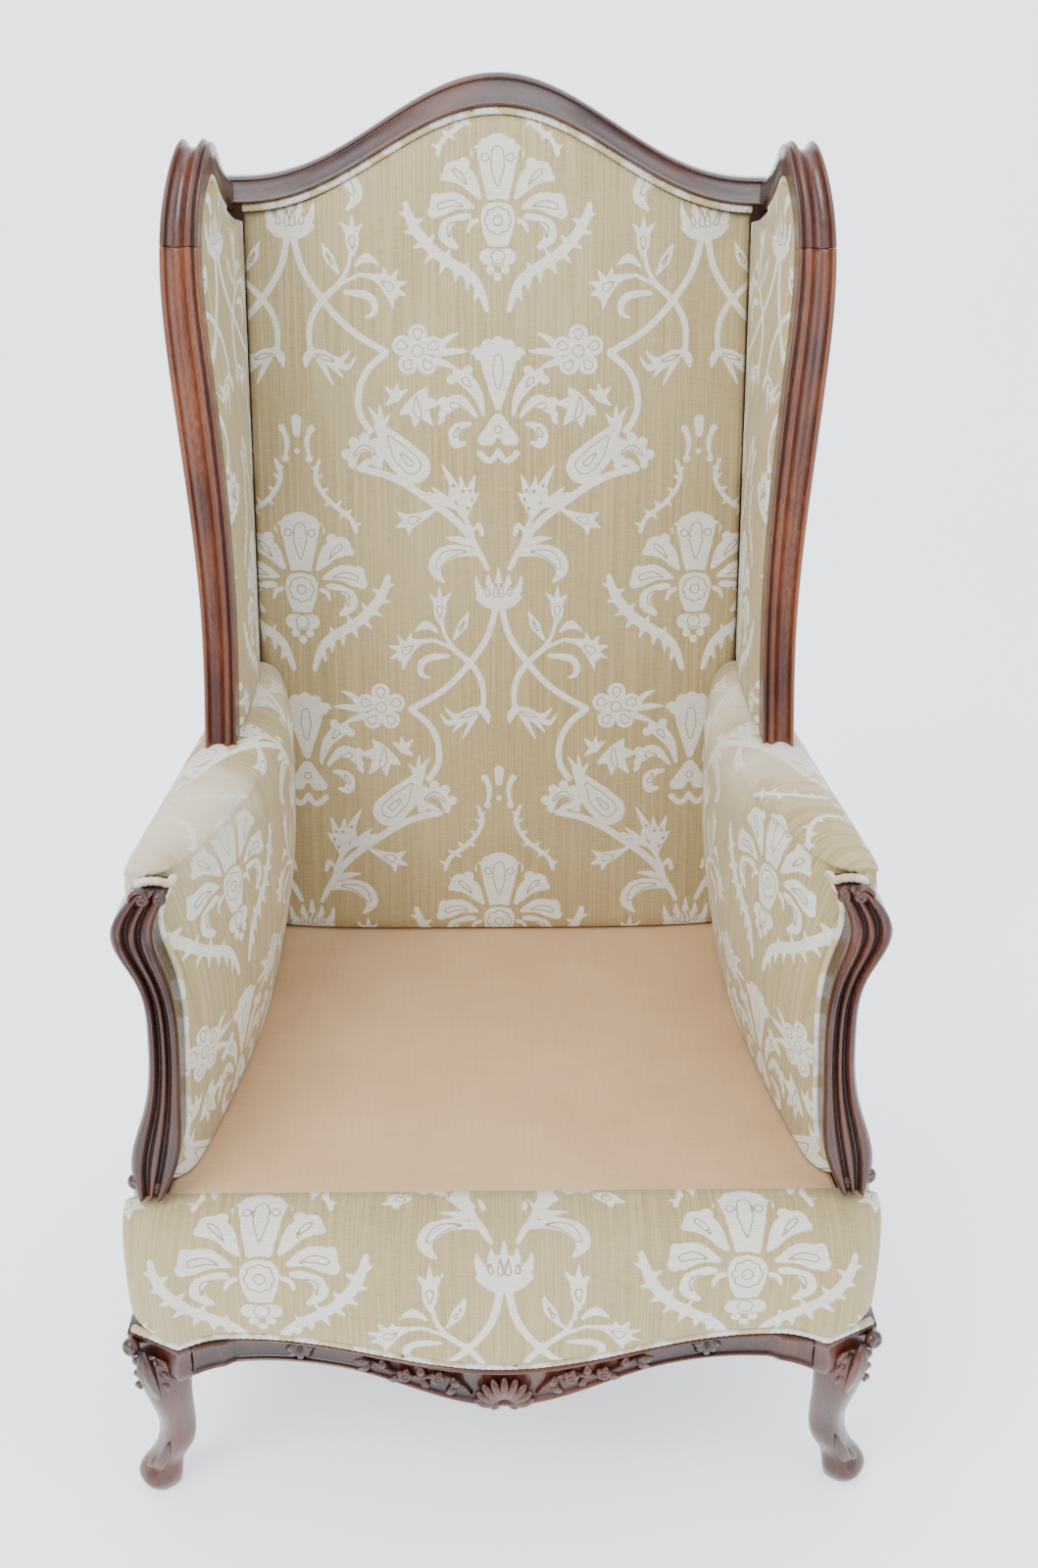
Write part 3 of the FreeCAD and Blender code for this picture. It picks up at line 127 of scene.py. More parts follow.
def spline(knots, values, at):
    """Natural cubic through values at knots, solved for its second derivatives, read at any places."""
    knots, values, at = (np.asarray(v, float) for v in (knots, values, at))
    count = len(knots)
    step = np.diff(knots)
    table = np.eye(count)
    right = np.zeros(count)
    inner = np.arange(1, count - 1)
    table[inner, inner - 1] = step[:-1]
    table[inner, inner] = 2 * (step[:-1] + step[1:])
    table[inner, inner + 1] = step[1:]
    slope = np.diff(values) / step
    right[1:-1] = 6 * (slope[1:] - slope[:-1])
    bend = np.linalg.solve(table, right)
    i = np.clip(np.searchsorted(knots, at) - 1, 0, count - 2)
    h = step[i]
    a = (knots[i + 1] - at) / h
    b = (at - knots[i]) / h
    curve = (a ** 3 - a) * bend[i] + (b ** 3 - b) * bend[i + 1]
    return a * values[i] + b * values[i + 1] + curve * h ** 2 / 6


def smooth(share):
    """Ease from 0 to 1: 3s^2 - 2s^3."""
    share = np.clip(share, 0.0, 1.0)
    return share * share * (3 - 2 * share)


def quarter(share):
    """A quarter-round: 1 at the edge and 0 from share 1 on; 1 less the root of 1 - (1 - s)^2."""
    return 1 - np.sqrt(1 - (1 - np.clip(share, 0, 1)) ** 2)


def signed_power(value, power):
    """A power of the size of a value, with the value's sign."""
    return np.sign(value) * np.abs(value) ** power


def unit(vectors):
    """Vectors at length 1."""
    return vectors / np.linalg.norm(vectors, axis=-1, keepdims=True)


def stack(*parts):
    """Coordinates broadcast to one array of points."""
    return np.stack(np.broadcast_arrays(*parts), axis=-1)


# Meshes


def lay(name, points, uv, traits=None, looped=True, capped=True, flip=False):
    """A mesh on an (m, n) grid of points, its faces counted off by rows; a looped grid closes across n."""
    m, n = points.shape[:2]
    i, j = np.meshgrid(np.arange(m - 1), np.arange(n if looped else n - 1), indexing="ij")
    k = (j + 1) % n
    quads = np.stack([i * n + j, i * n + k, (i + 1) * n + k, (i + 1) * n + j], axis=-1).reshape(-1, 4)
    if flip:
        quads = quads[:, ::-1]
    faces = quads.tolist()
    if capped:
        ends = list(range(n))[::-1], list(range((m - 1) * n, m * n))
        faces += [end[::-1] if flip else end for end in ends]
    mesh = bpy.data.meshes.new(name)
    mesh.from_pydata(points.reshape(-1, 3).tolist(), [], faces)
    corner = np.empty(len(mesh.loops), int)
    mesh.loops.foreach_get("vertex_index", corner)
    layer = mesh.uv_layers.new(name="cut")
    layer.data.foreach_set("uv", uv.reshape(-1, 2)[corner].ravel().astype(np.float32))
    for trait, values in (traits or {}).items():
        made = mesh.attributes.new(trait, "FLOAT", "POINT")
        made.data.foreach_set("value", np.broadcast_to(values, (m, n)).ravel().astype(np.float32))
    mesh.polygons.foreach_set("use_smooth", np.ones(len(mesh.polygons), bool))
    piece = bpy.data.objects.new(name, mesh)
    bpy.context.collection.objects.link(piece)
    return piece


def facing_out(points):
    """Whether a looped grid's faces point outwards: the sign of its enclosed volume."""
    near = points - points.reshape(-1, 3).mean(axis=0)
    following = np.roll(near, -1, axis=1)
    a, b, c, d = near[:-1], following[:-1], following[1:], near[1:]
    return (a * (np.cross(b, c) + np.cross(c, d))).sum() > 0


def dress(piece, finish, slot, *nodes, pad=None):
    """Give a piece its finish and its body, and hide the nodes it stands for; its slot is not used."""
    piece.data.materials.clear()
    piece.data.materials.append(finish)
    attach(piece, "root")
    if nodes:
        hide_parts(*nodes)


def solid(name, points, uv, finish, slot, *nodes, traits=None, pad=None):
    """A closed piece from a looped grid, turned to face outwards; the cover gets its figures."""
    if finish is CLOTH:
        traits = {**figures(uv), **(traits or {})}
    piece = lay(name, points, uv, traits, flip=not facing_out(points))
    dress(piece, finish, slot, *nodes, pad=pad)


def handed(points, side):
    """Points drawn for the right, for either side: x times the side."""
    return points * np.array([side, 1.0, 1.0])


def pair(name, points, uv, finish, slot, node, **more):
    """The same piece for the left and for the right."""
    for side, hand in HANDS:
        solid(f"{name}_{hand}", handed(points, side), uv, finish, slot, f"{node}_{hand}", **more)


def run_length(points):
    """Distance along each row of points, from the first."""
    step = np.linalg.norm(np.diff(points, axis=0), axis=-1)
    return np.concatenate([np.zeros((1,) + step.shape[1:]), np.cumsum(step, axis=0)])


def girth(points):
    """Distance round each loop of a grid, from the loop's first point."""
    return run_length(points.transpose(1, 0, 2)).T


# The damask's figures, drawn in millimetres from a figure's axis and up the cloth


# The repeat's height, the distance between two axes, the lowest figure's foot, and "far outside a figure"
REPEAT, AXES, FOOT, FAR = 775.0, 217.5, 128.0, -4.0


class Drawing:
    """Tapered strokes through (x, y, radius) points. It keeps how far inside a figure, and inside an inner
    outline, each place of the cloth lies: the radius less the distance, the largest of all strokes."""

    def __init__(self, x, y):
        self.x, self.y = x, y
        self.figure, self.inner = np.full(len(x), FAR), np.full(len(x), FAR)

    def reach(self, points):
        """Places near a stroke, and how far inside it they are."""
        points = np.array(points, float)
        if len(points) == 1:
            points = np.repeat(points, 2, axis=0) + np.array([[0, 0, 0], [0.01, 0, 0]])
        knots = np.concatenate([[0], np.cumsum(np.hypot(*np.diff(points[:, :2], axis=0).T))])
        at = np.linspace(0, knots[-1], max(2, int(knots[-1] / 5) + 2))
        x, y = spline(knots, points[:, 0], at), spline(knots, points[:, 1], at)
        r = np.interp(at, knots, points[:, 2])
        wide = r.max() - FAR
        near = np.flatnonzero((self.x > x.min() - wide) & (self.x < x.max() + wide)
                              & (self.y > y.min() - wide) & (self.y < y.max() + wide))
        px, py = self.x[near, None] - x[:-1], self.y[near, None] - y[:-1]
        dx, dy = np.diff(x), np.diff(y)
        share = np.clip((px * dx + py * dy) / (dx * dx + dy * dy), 0, 1)
        gap = np.hypot(px - share * dx, py - share * dy)
        return near, (r[:-1] + np.diff(r) * share - gap).max(axis=1) if len(near) else np.zeros(0)

    def draw(self, points, field, cut=False):
        """Add a stroke to a field, or cut it out, here and where it reaches into the repeat below."""
        for drop in (0.0, REPEAT):
            if drop and max(y + r for _, y, r in points) < FOOT + REPEAT + FAR:
                continue
            near, inside = self.reach([(x, y - drop, r) for x, y, r in points])
            field[near] = np.minimum(field[near], -inside) if cut else np.maximum(field[near], inside)

    def line(self, *points):
        """A stroke of a figure."""
        self.draw(points, self.figure)

    def dots(self, radius, *places):
        """Round dots of a figure."""
        for x, y in places:
            self.draw([(x, y, radius)], self.figure)

    def gap(self, *points):
        """A stroke cut out of a figure."""
        self.draw(points, self.figure, cut=True)

    def trace(self, *points):
        """A stroke of the inner outlines."""
        self.draw(points, self.inner)

    def hollow(self, *points):
        """A stroke cut out of the inner outlines."""
        self.draw(points, self.inner, cut=True)


def large_palmette(d):
    """A carnation palmette: a central wedge, two fan petals and an acanthus leaf each side, over an urn."""
    d.line((0, 808, 11), (0, 838, 18), (0, 852, 20))
    d.dots(8, (0, 863), (12, 860), (20, 853))
    d.line((19, 811, 3), (34, 828, 11), (45, 835, 11))
    d.dots(6, (35, 843), (48, 838), (53, 829))
    d.line((27, 800, 3), (46, 806, 9), (60, 802, 11))
    d.dots(6, (64, 808), (67, 795))
    d.line((30, 791, 3), (50, 786, 6), (55, 772, 7), (44, 761, 3))
    d.line((22, 787, 2.5), (28, 784, 2.5), (31, 776, 1.5))
    d.line((0, 790, 18), (0, 779, 16), (0, 766, 11))
    d.dots(8, (0, 750), (11, 751))
    d.dots(4.5, (8, 738), (0, 731))
    d.gap((15, 810, 1.6), (20, 832, 2.0), (24, 856, 2.2))
    d.gap((23, 805, 1.4), (40, 820, 2.0), (62, 824, 2.2))
    d.gap((23, 797, 1.4), (42, 795, 1.9), (64, 786, 2.0))
    d.gap((0, 807, 1.6), (13, 804, 1.6), (23, 796, 1.6))
    d.gap((0, 760, 1.4), (12, 761, 1.4), (22, 764, 1.4))
    d.trace((0, 822, 1.5), (0, 840, 7), (0, 854, 6))
    d.trace((13, 849, 4))
    for turn in np.arange(5) * np.pi / 4 - np.pi / 2:
        d.trace((9 * np.cos(turn), 787 + 9 * np.sin(turn), 5))
    d.hollow((0, 787, 5))
    d.trace((0, 751, 7))
    d.trace((32, 822, 0.5), (40, 832, 3), (45, 836, 2))
    d.trace((36, 801, 0.5), (48, 804, 3), (60, 801, 3))
    d.trace((40, 786, 0.5), (50, 781, 2.5), (51, 771, 1))


def thorn_cup(d):
    """A thorny branch cupped under the large palmette, and the sprigs and hooks over it."""
    d.line((96, 803, 3), (90, 785, 5), (80, 770, 5.5), (65, 755, 5.5), (45, 742, 5.5), (25, 728, 5),
           (12, 698, 3))
    for x, y, out, down in ((94, 792, 9, 3), (88, 776, 10, -1), (79, 764, 10, -5), (69, 753, 8, -8),
                            (57, 744, 4, -10), (44, 736, 1, -11), (32, 728, 0, -11), (22, 716, 3, -9),
                            (86, 785, -8, 4), (72, 766, -6, 7), (54, 751, -4, 8), (34, 738, -3, 8)):
        d.line((x, y, 3.5), (x + out, y + down, 0.8))
    d.line((62, 852, 2.5), (57, 865, 2.5), (42, 877, 2.5), (27, 892, 2.5), (19, 912, 2.5), (24, 927, 2))
    for x, y, out, up in ((60, 858, 8, 3), (51, 870, 7, 5), (41, 878, 6, 7), (34, 884, -6, -5),
                          (26, 894, 7, 4), (20, 908, 7, 4), (21, 918, -6, 2), (50, 871, -6, -5)):
        d.line((x, y, 2.8), (x + out, y + up, 0.8))
    d.line((15, 960, 3), (11, 948, 3), (14, 929, 1.5))
    d.dots(4, (16, 961), (13, 929))
    d.dots(3.2, (0, 937))
    d.line((0, 956, 4), (0, 970, 5.5))
    d.hollow((0, 963, 2.5))


def small_palmette(d):
    """A fan of petals on a bell, with a toothed crown and tracing inside its leaves."""
    d.line((0, 598, 4), (0, 620, 11), (0, 645, 19))
    d.dots(7, (0, 664), (11, 661), (22, 653))
    d.line((16, 590, 2), (24, 614, 6), (37, 628, 8))
    d.dots(5, (32, 636), (44, 633), (50, 626))
    d.line((24, 588, 2), (44, 604, 7), (55, 598, 7))
    d.dots(4.5, (59, 604), (60, 590), (60, 582))
    d.line((30, 580, 2), (47, 572, 6), (46, 559, 5), (36, 560, 2))
    d.line((0, 584, 7), (8, 574, 6), (16, 563, 6))
    d.dots(7, (0, 572), (10, 564))
    d.line((20, 549, 3.5), (9, 541, 3), (0, 551, 3))
    d.gap((9, 598, 1.4), (17, 622, 1.8), (27, 650, 2))
    d.gap((20, 588, 1.4), (32, 608, 1.8), (56, 616, 2))
    d.gap((28, 586, 1.3), (44, 588, 1.7), (62, 577, 1.8))
    d.trace((0, 618, 2), (0, 634, 6), (0, 648, 4))
    d.trace((30, 619, 1), (35, 625, 3.5))
    d.trace((40, 597, 2), (48, 599, 3.5))
    d.trace((43, 575, 1.5), (46, 568, 2.5))
    d.trace((0, 574, 4))


def knot(d):
    """The calyx that ties the vines, with its tear-shaped tracing and its stems down to the rose."""
    d.line((0, 425, 1), (0, 410, 4), (0, 395, 8))
    d.line((11, 418, 1), (10, 404, 5), (4, 392, 6))
    d.line((25, 416, 1), (21, 400, 4.5), (8, 388, 5))
    d.line((24, 393, 2), (14, 386, 4), (2, 384, 5))
    d.trace((3, 408, 0.8), (3, 396, 3))
    d.trace((14, 406, 0.8), (12, 397, 2.5))
    d.line((3, 385, 3.5), (12, 350, 3.5), (30, 322, 3.5), (60, 290, 3.5), (98, 267, 3.5))
    d.line((50, 335, 3), (33, 320, 3.3), (20, 300, 3.3), (17, 280, 3), (18, 265, 2.5))
    d.line((20, 268, 3), (14, 260, 5), (12, 250, 1))
    d.line((18, 266, 3), (32, 262, 6), (47, 257, 4), (60, 268, 0.8))
    d.line((44, 258, 4), (56, 250, 3), (66, 262, 0.8))
    d.line((38, 256, 4), (52, 240, 1))
    d.line((28, 258, 4), (41, 232, 1))
    d.trace((24, 263, 1), (34, 260, 2.5), (42, 257, 1))


def rose(d):
    """A five-lobed rose with stamens, two maple leaves, and the drop bud that hangs from its curled stem."""
    def polar(turn, out, radius):
        return 132 + out * np.cos(turn), 268 + out * np.sin(turn), radius

    for turn in np.arange(5) * 2 * np.pi / 5 + 0.3:
        d.line(polar(turn, 6, 7), polar(turn, 17, 10.5))
        d.trace(polar(turn, 12, 1), polar(turn, 18, 5))
        d.gap(polar(turn + 0.63, 8, 0.6), polar(turn + 0.63, 25, 1.8))
    d.trace((132, 268, 6))
    d.line((155, 270, 4), (166, 282, 3), (176, 286, 0.8))
    d.line((155, 266, 4), (172, 268, 3.5), (186, 268, 0.8))
    d.line((152, 258, 4), (164, 254, 3), (173, 250, 0.8))
    for x, y in ((142, 230), (156, 214), (147, 191), (128, 189), (112, 202)):
        d.line((130, 214, 8), ((130 + x) / 2, (214 + y) / 2, 6), (x, y, 1))
    d.trace((130, 220, 1), (131, 205, 4), (134, 198, 1))
    for x, y in ((97, 231), (110, 234), (120, 228), (97, 212)):
        d.line((108, 220, 5), (x, y, 1))
    d.line((98, 265, 3.5), (80, 250, 3.5), (68, 222, 3.5), (70, 200, 3.5), (80, 185, 3.5))
    d.line((88, 192, 4), (84, 202, 2.5), (78, 210, 0.8))
    d.line((90, 190, 4), (91, 202, 2.5), (90, 213, 0.8))
    d.line((92, 188, 4), (97, 196, 2.5), (102, 203, 0.8))
    d.line((88, 190, 4), (98, 178, 10), (112, 160, 17), (126, 147, 18))
    d.line((126, 140, 9), (144, 146, 1))
    d.line((118, 140, 7), (117, 129, 1))
    d.trace((100, 178, 2), (113, 160, 9.5), (124, 149, 10))
    d.hollow((113, 160, 1.5), (122, 151, 3.5))


def spray(d):
    """The flowers beside the knot: a tulip, a bell and their leaves on thin stems."""
    d.line((65, 366, 3), (65, 377, 7), (65, 386, 7))
    for x, y in ((52, 398), (65, 404), (76, 396)):
        d.line((65, 384, 5), (x, y, 0.8))
    d.trace((65, 372, 1), (65, 380, 3.5))
    d.line((63, 366, 2), (59, 350, 2), (50, 336, 2.5))
    d.line((33, 377, 0.8), (40, 362, 5.5), (50, 346, 1.5))
    d.line((68, 354, 1.5), (80, 362, 5), (93, 354, 0.8))
    d.line((72, 345, 2), (86, 343, 3), (100, 337, 8), (106, 328, 8))
    for x, y in ((97, 353), (112, 350), (122, 338), (121, 324), (107, 311)):
        d.line((102, 333, 6), (x, y, 0.8))
    d.trace((96, 338, 1), (103, 333, 4.5))
    d.line((52, 336, 2), (72, 345, 2))
    d.line((56, 327, 2), (72, 326, 4), (86, 319, 4), (86, 306, 3), (77, 302, 1))
    d.trace((38, 366, 0.6), (43, 357, 1.8))


def branches(d):
    """The branches up from the knot: a scalloped fan, a leaf spray, a bud and a curled leaf."""
    d.line((20, 440, 3), (40, 470, 4), (70, 495, 4), (120, 525, 4), (150, 532, 3.5))
    d.line((12, 424, 2.5), (20, 440, 3.5))
    d.line((130, 538, 5), (133, 552, 6), (145, 557, 6), (156, 548, 6), (158, 536, 4))
    d.dots(5.5, (127, 546), (132, 559), (144, 565), (156, 560), (164, 547))
    d.hollow((145, 546, 3))
    d.trace((134, 548, 1.5), (144, 555, 2.5), (155, 547, 1.5))
    d.line((150, 532, 3), (138, 540, 3.5), (127, 535, 2.5))
    d.line((27, 455, 2.5), (40, 485, 2.5), (75, 505, 2.5))
    for x, y in ((25, 526), (41, 525), (61, 537), (21, 507), (30, 488)):
        mid = ((x + 36) / 2, (y + 484) / 2 + 4)
        d.line((36, 480, 2), (*mid, 4.5), (x, y, 0.8))
        d.trace((*mid, 1.6))
    for x, y in ((52, 512), (72, 513), (86, 508)):
        d.line((50, 492, 2), ((x + 50) / 2, (y + 492) / 2, 4), (x, y, 0.8))
    d.line((70, 488, 2), (84, 481, 5), (97, 476, 8))
    for x, y in ((110, 486), (112, 469), (98, 461)):
        d.line((96, 476, 6), (x, y, 0.8))
    d.trace((86, 479, 1), (94, 477, 4.5))
    d.line((20, 440, 3), (40, 444, 6), (62, 438, 9), (70, 424, 7), (60, 410, 1.5))
    d.trace((36, 443, 1), (58, 438, 5), (66, 427, 3))
    d.line((28, 450, 1.5), (42, 456, 4), (58, 458, 0.8))
    d.line((18, 462, 2.5), (22, 472, 3), (28, 465, 1.2))


def figures(cloth):
    """Where the cloth's figures lie: the repeat is a set on one axis, and the same half a repeat on along
    the next, each mirrored about its axis."""
    x, y = cloth[..., 0].ravel() * 1000, cloth[..., 1].ravel() * 1000
    near = np.abs((x + AXES) % (2 * AXES) - AXES)
    across = np.concatenate([near, AXES - near])
    up = np.concatenate([y, y + REPEAT / 2])
    d = Drawing(across, (up - FOOT) % REPEAT + FOOT)
    for draw in (large_palmette, thorn_cup, small_palmette, knot, rose, spray, branches):
        draw(d)
    shape = (2,) + cloth.shape[:-1]
    return {"motif": d.figure.reshape(shape).max(axis=0), "trace": d.inner.reshape(shape).max(axis=0)}


# Finishes


class Value:
    """A socket in a material's node tree; arithmetic on it adds Math nodes."""

    def __init__(self, tree, socket):
        self.tree, self.socket = tree, socket

    def math(self, operation, *others):
        """A Math node on this value and the others."""
        return node(self.tree, "ShaderNodeMath", {"operation": operation}, dict(enumerate((self,) + others)))

    def __add__(self, other):
        return self.math("ADD", other)

    __radd__ = __add__

    def __sub__(self, other):
        return self.math("SUBTRACT", other)

    def __rsub__(self, other):
        return (self * -1) + other

    def __mul__(self, other):
        return self.math("MULTIPLY", other)

    __rmul__ = __mul__

    def sine(self):
        return self.math("SINE")

    def size(self):
        return self.math("ABSOLUTE")

    def ramp(self, low, high, start=0.0, end=1.0):
        """Ease from start to end as this value goes from low to high."""
        return node(self.tree, "ShaderNodeMapRange", {"interpolation_type": "SMOOTHSTEP"},
                    {"Value": self, "From Min": low, "From Max": high, "To Min": start, "To Max": end},
                    out="Result")

    def blend(self, first, second):
        """The first colour where this value is 0, the second where it is 1."""
        return node(self.tree, "ShaderNodeMix", {"data_type": "RGBA"}, {"Factor": self, 6: first, 7: second},
                    out=2)


def feed(tree, socket, value):
    """Link a wrapped socket, or set a plain value."""
    if isinstance(value, Value):
        tree.links.new(value.socket, socket)
    else:
        socket.default_value = value


def node(tree, kind, settings=None, inputs=None, out=0):
    """A node of any kind: its settings first, then its inputs by name or place; read at one output."""
    made = tree.nodes.new(kind)
    for key, value in (settings or {}).items():
        setattr(made, key, value)
    for key, value in (inputs or {}).items():
        feed(tree, made.inputs[key], value)
    return Value(tree, made.outputs[out])


def colour(red, green, blue):
    """A screen colour (0 to 255) as a linear one."""
    share = np.array([red, green, blue]) / 255
    linear = np.where(share <= 0.04045, share / 12.92, ((share + 0.055) / 1.055) ** 2.4)
    return (*map(float, linear), 1.0)


class Finish:
    """A material with one Principled shader, and the places its patterns are laid on."""

    def __init__(self, name, rough=0.6, metal=0.0, coat=0.0, sheen=0.0, specular=0.5):
        self.material = bpy.data.materials.new(name)
        self.material.use_nodes = True
        self.tree = self.material.node_tree
        for key, value in (("Roughness", rough), ("Metallic", metal), ("Coat Weight", coat),
                           ("Sheen Weight", sheen), ("Specular IOR Level", specular),
                           ("Coat Roughness", 0.15)):
            self.put(key, value)

    def put(self, name, value):
        """Set or link one of the shader's inputs."""
        feed(self.tree, self.tree.nodes["Principled BSDF"].inputs[name], value)

    def place(self, scale=(1.0, 1.0, 1.0)):
        """Object coordinates, scaled."""
        spot = node(self.tree, "ShaderNodeTexCoord", out="Object")
        return node(self.tree, "ShaderNodeMapping", inputs={"Vector": spot, "Scale": scale})

    def cut(self, scale=(1.0, 1.0, 1.0)):
        """The piece's own UVs, scaled."""
        spot = node(self.tree, "ShaderNodeUVMap", {"uv_map": "cut"}, out="UV")
        return node(self.tree, "ShaderNodeMapping", inputs={"Vector": spot, "Scale": scale})

    def split(self, vector):
        """The x and y of a vector."""
        return [node(self.tree, "ShaderNodeSeparateXYZ", inputs={0: vector}, out=axis) for axis in (0, 1)]

    def trait(self, name):
        """A number stored on the piece's points."""
        return node(self.tree, "ShaderNodeAttribute", {"attribute_name": name}, out="Fac")

    def noise(self, vector, scale, detail=3.0, rough=0.55):
        """Smooth noise over a vector."""
        inputs = {"Vector": vector, "Scale": scale, "Detail": detail, "Roughness": rough}
        return node(self.tree, "ShaderNodeTexNoise", inputs=inputs, out="Fac")

    def bump(self, height, strength, distance):
        """Relief on the shader's normal, from a height."""
        self.put("Normal", node(self.tree, "ShaderNodeBump",
                                inputs={"Height": height, "Strength": strength, "Distance": distance}))


def wood(name, dark, middle, light, rough=0.32, hollow=True, coat=0.25):
    """Polished wood: long stretched noise for the grain, finer pores, darker towards a near-black brown in
    the hollows, paler on the ridges."""
    finish = Finish(name, rough=rough, coat=coat)
    grain = finish.noise(finish.place((9.0, 9.0, 2.2)), 6.0, 6.0, 0.62)
    pores = finish.noise(finish.place((160.0, 160.0, 9.0)), 4.0, 2.0, 0.6)
    cloud = finish.noise(finish.place((5.0, 5.0, 3.0)), 1.6, 3.0, 0.5)
    tone = (grain * 0.55 + cloud * 0.45).ramp(0.34, 0.66)
    shade = tone.blend(dark, middle)
    shade = (cloud * 0.6 + pores * 0.4).ramp(0.47, 0.68, 0.0, 0.75).blend(shade, light)
    if hollow:
        # Darker towards a near-black brown where the face lies below its neighbours, paler where it stands
        # proud
        deep = finish.trait("hollow")
        shade = deep.ramp(0.10, 1.6, 0.0, 0.85).blend(shade, colour(22, 9, 7))
        shade = deep.ramp(-0.2, -1.8, 0.0, 0.5).blend(shade, light)
    finish.put("Base Color", shade)
    finish.put("Roughness", (cloud * 0.5 + pores * 0.5).ramp(0.3, 0.7, rough - 0.07, rough + 0.16))
    finish.bump(pores * 0.5 + grain * 0.5, 0.12, 0.0006)
    return finish.material


def damask():
    """The cover: a tan ground with fine upright streaks and a weave, pale figures with ribs, thin brown
    tracing inside them, and wear where the arms are rubbed."""
    finish = Finish("damask_cloth", rough=0.82, sheen=0.15, specular=0.25)
    across, up = finish.split(finish.cut())
    streak = finish.noise(finish.cut((430.0, 5.0, 1.0)), 1.0, 3.0, 0.6)
    slub = finish.noise(finish.cut((70.0, 700.0, 1.0)), 1.0, 2.0, 0.6)
    weave = (across * 4200.0).sine() * (up * 3900.0).sine()
    cloud = finish.noise(finish.place(), 4.5)
    # The ground is a little darker and browner low down the cloth, paler higher up
    ground = up.ramp(0.95, 0.1).blend(colour(186, 168, 126), colour(180, 158, 110))
    ground = streak.ramp(0.36, 0.66).blend(colour(158, 138, 94), ground)
    ground = (slub * 0.5 + cloud * 0.5).ramp(0.40, 0.62, 0.0, 0.35).blend(ground, colour(196, 180, 142))
    figure = slub.ramp(0.35, 0.65).blend(colour(224, 222, 212), colour(208, 204, 190))
    inside = finish.trait("motif").ramp(-0.45, 0.45)
    traced = finish.trait("trace").size().ramp(0.85, 0.35)
    shade = inside.blend(ground, figure)
    shade = (inside * traced * 0.85).blend(shade, colour(150, 126, 84))
    worn = (finish.trait("worn") * cloud.ramp(0.42, 0.62)) * 0.7
    shade = worn.blend(shade, colour(218, 208, 186))
    finish.put("Base Color", shade)
    finish.bump(weave * 0.25 + inside * 1.1 + streak * 0.4 + slub * 0.5, 0.35, 0.0004)
    return finish.material


def platform():
    """The bare platform cloth: plain weave in a warm tan, faintly streaked and soiled."""
    finish = Finish("platform_cloth", rough=0.88, specular=0.2)
    across, up = finish.split(finish.cut())
    streak = finish.noise(finish.cut((300.0, 12.0, 1.0)), 1.0, 3.0, 0.6)
    slub = finish.noise(finish.cut((14.0, 340.0, 1.0)), 1.0, 3.0, 0.6)
    cloud = finish.noise(finish.place(), 5.0, 4.0, 0.6)
    shade = (streak * 0.2 + slub * 0.2 + cloud * 0.6).ramp(0.30, 0.70).blend(colour(192, 154, 114),
                                                                             colour(208, 172, 132))
    finish.put("Base Color", shade)
    finish.bump((across * 3600.0).sine() * (up * 3600.0).sine() * 0.3 + slub * 0.4 + cloud, 0.3, 0.0005)
    return finish.material


def welting():
    """The cords' cover: the cloth on the bias, pale and tan by turns, with dark cracks where it split."""
    finish = Finish("welt_cloth", rough=0.8, specular=0.25)
    run = finish.noise(finish.cut((20.0, 28.0, 1.0)), 1.0, 2.0, 0.5)
    thread = finish.noise(finish.cut((420.0, 420.0, 1.0)), 1.0, 2.0, 0.6)
    crack = finish.noise(finish.cut((130.0, 60.0, 1.0)), 1.0, 4.0, 0.7)
    shade = run.ramp(0.47, 0.53).blend(colour(196, 178, 142), colour(226, 222, 214))
    shade = thread.ramp(0.35, 0.65, 0.0, 0.3).blend(shade, colour(166, 145, 108))
    shade = crack.ramp(0.62, 0.68).blend(shade, colour(84, 52, 34))
    finish.put("Base Color", shade)
    finish.bump(thread - crack.ramp(0.60, 0.68) * 2.0, 0.4, 0.0004)
    return finish.material


def plain(name, first, second, scale, rough=0.8, metal=0.0, stretch=(1.0, 1.0, 1.0)):
    """A working material out of sight: two tones by a stretched noise, with the same noise as relief."""
    finish = Finish(name, rough=rough, metal=metal)
    spot = finish.noise(finish.place(stretch), scale, 4.0, 0.6)
    finish.put("Base Color", spot.ramp(0.35, 0.65).blend(first, second))
    finish.bump(spot, 0.3, 0.0006)
    return finish.material


CLOTH = damask()
PLATFORM = platform()
WELTING = welting()
STILE = wood("walnut_light", colour(62, 26, 14), colour(104, 50, 26), colour(140, 78, 42))
DARK_WOOD = wood("walnut_dark", colour(36, 14, 9), colour(70, 30, 18), colour(104, 54, 32), rough=0.28,
                 coat=0.4)
POST = wood("walnut_post", colour(66, 30, 18), colour(104, 54, 30), colour(134, 78, 44), hollow=False,
            rough=0.4)
BEECH = plain("frame_beech", colour(168, 128, 84), colour(194, 156, 108), 9.0, 0.6, stretch=(3.0, 3.0, 0.6))
JUTE = plain("webbing_jute", colour(150, 122, 82), colour(182, 156, 112), 240.0, 0.9)
STEEL = plain("spring_steel", colour(92, 82, 72), colour(128, 120, 110), 60.0, 0.45, metal=0.9)
HESSIAN = plain("hessian", colour(158, 130, 88), colour(186, 160, 118), 320.0, 0.95)
HAIR = plain("stuffing_hair", colour(96, 76, 58), colour(150, 128, 104), 180.0, 0.95)
DUST = plain("dust_cloth", colour(24, 23, 23), colour(42, 40, 39), 260.0, 0.9)


# Upholstery


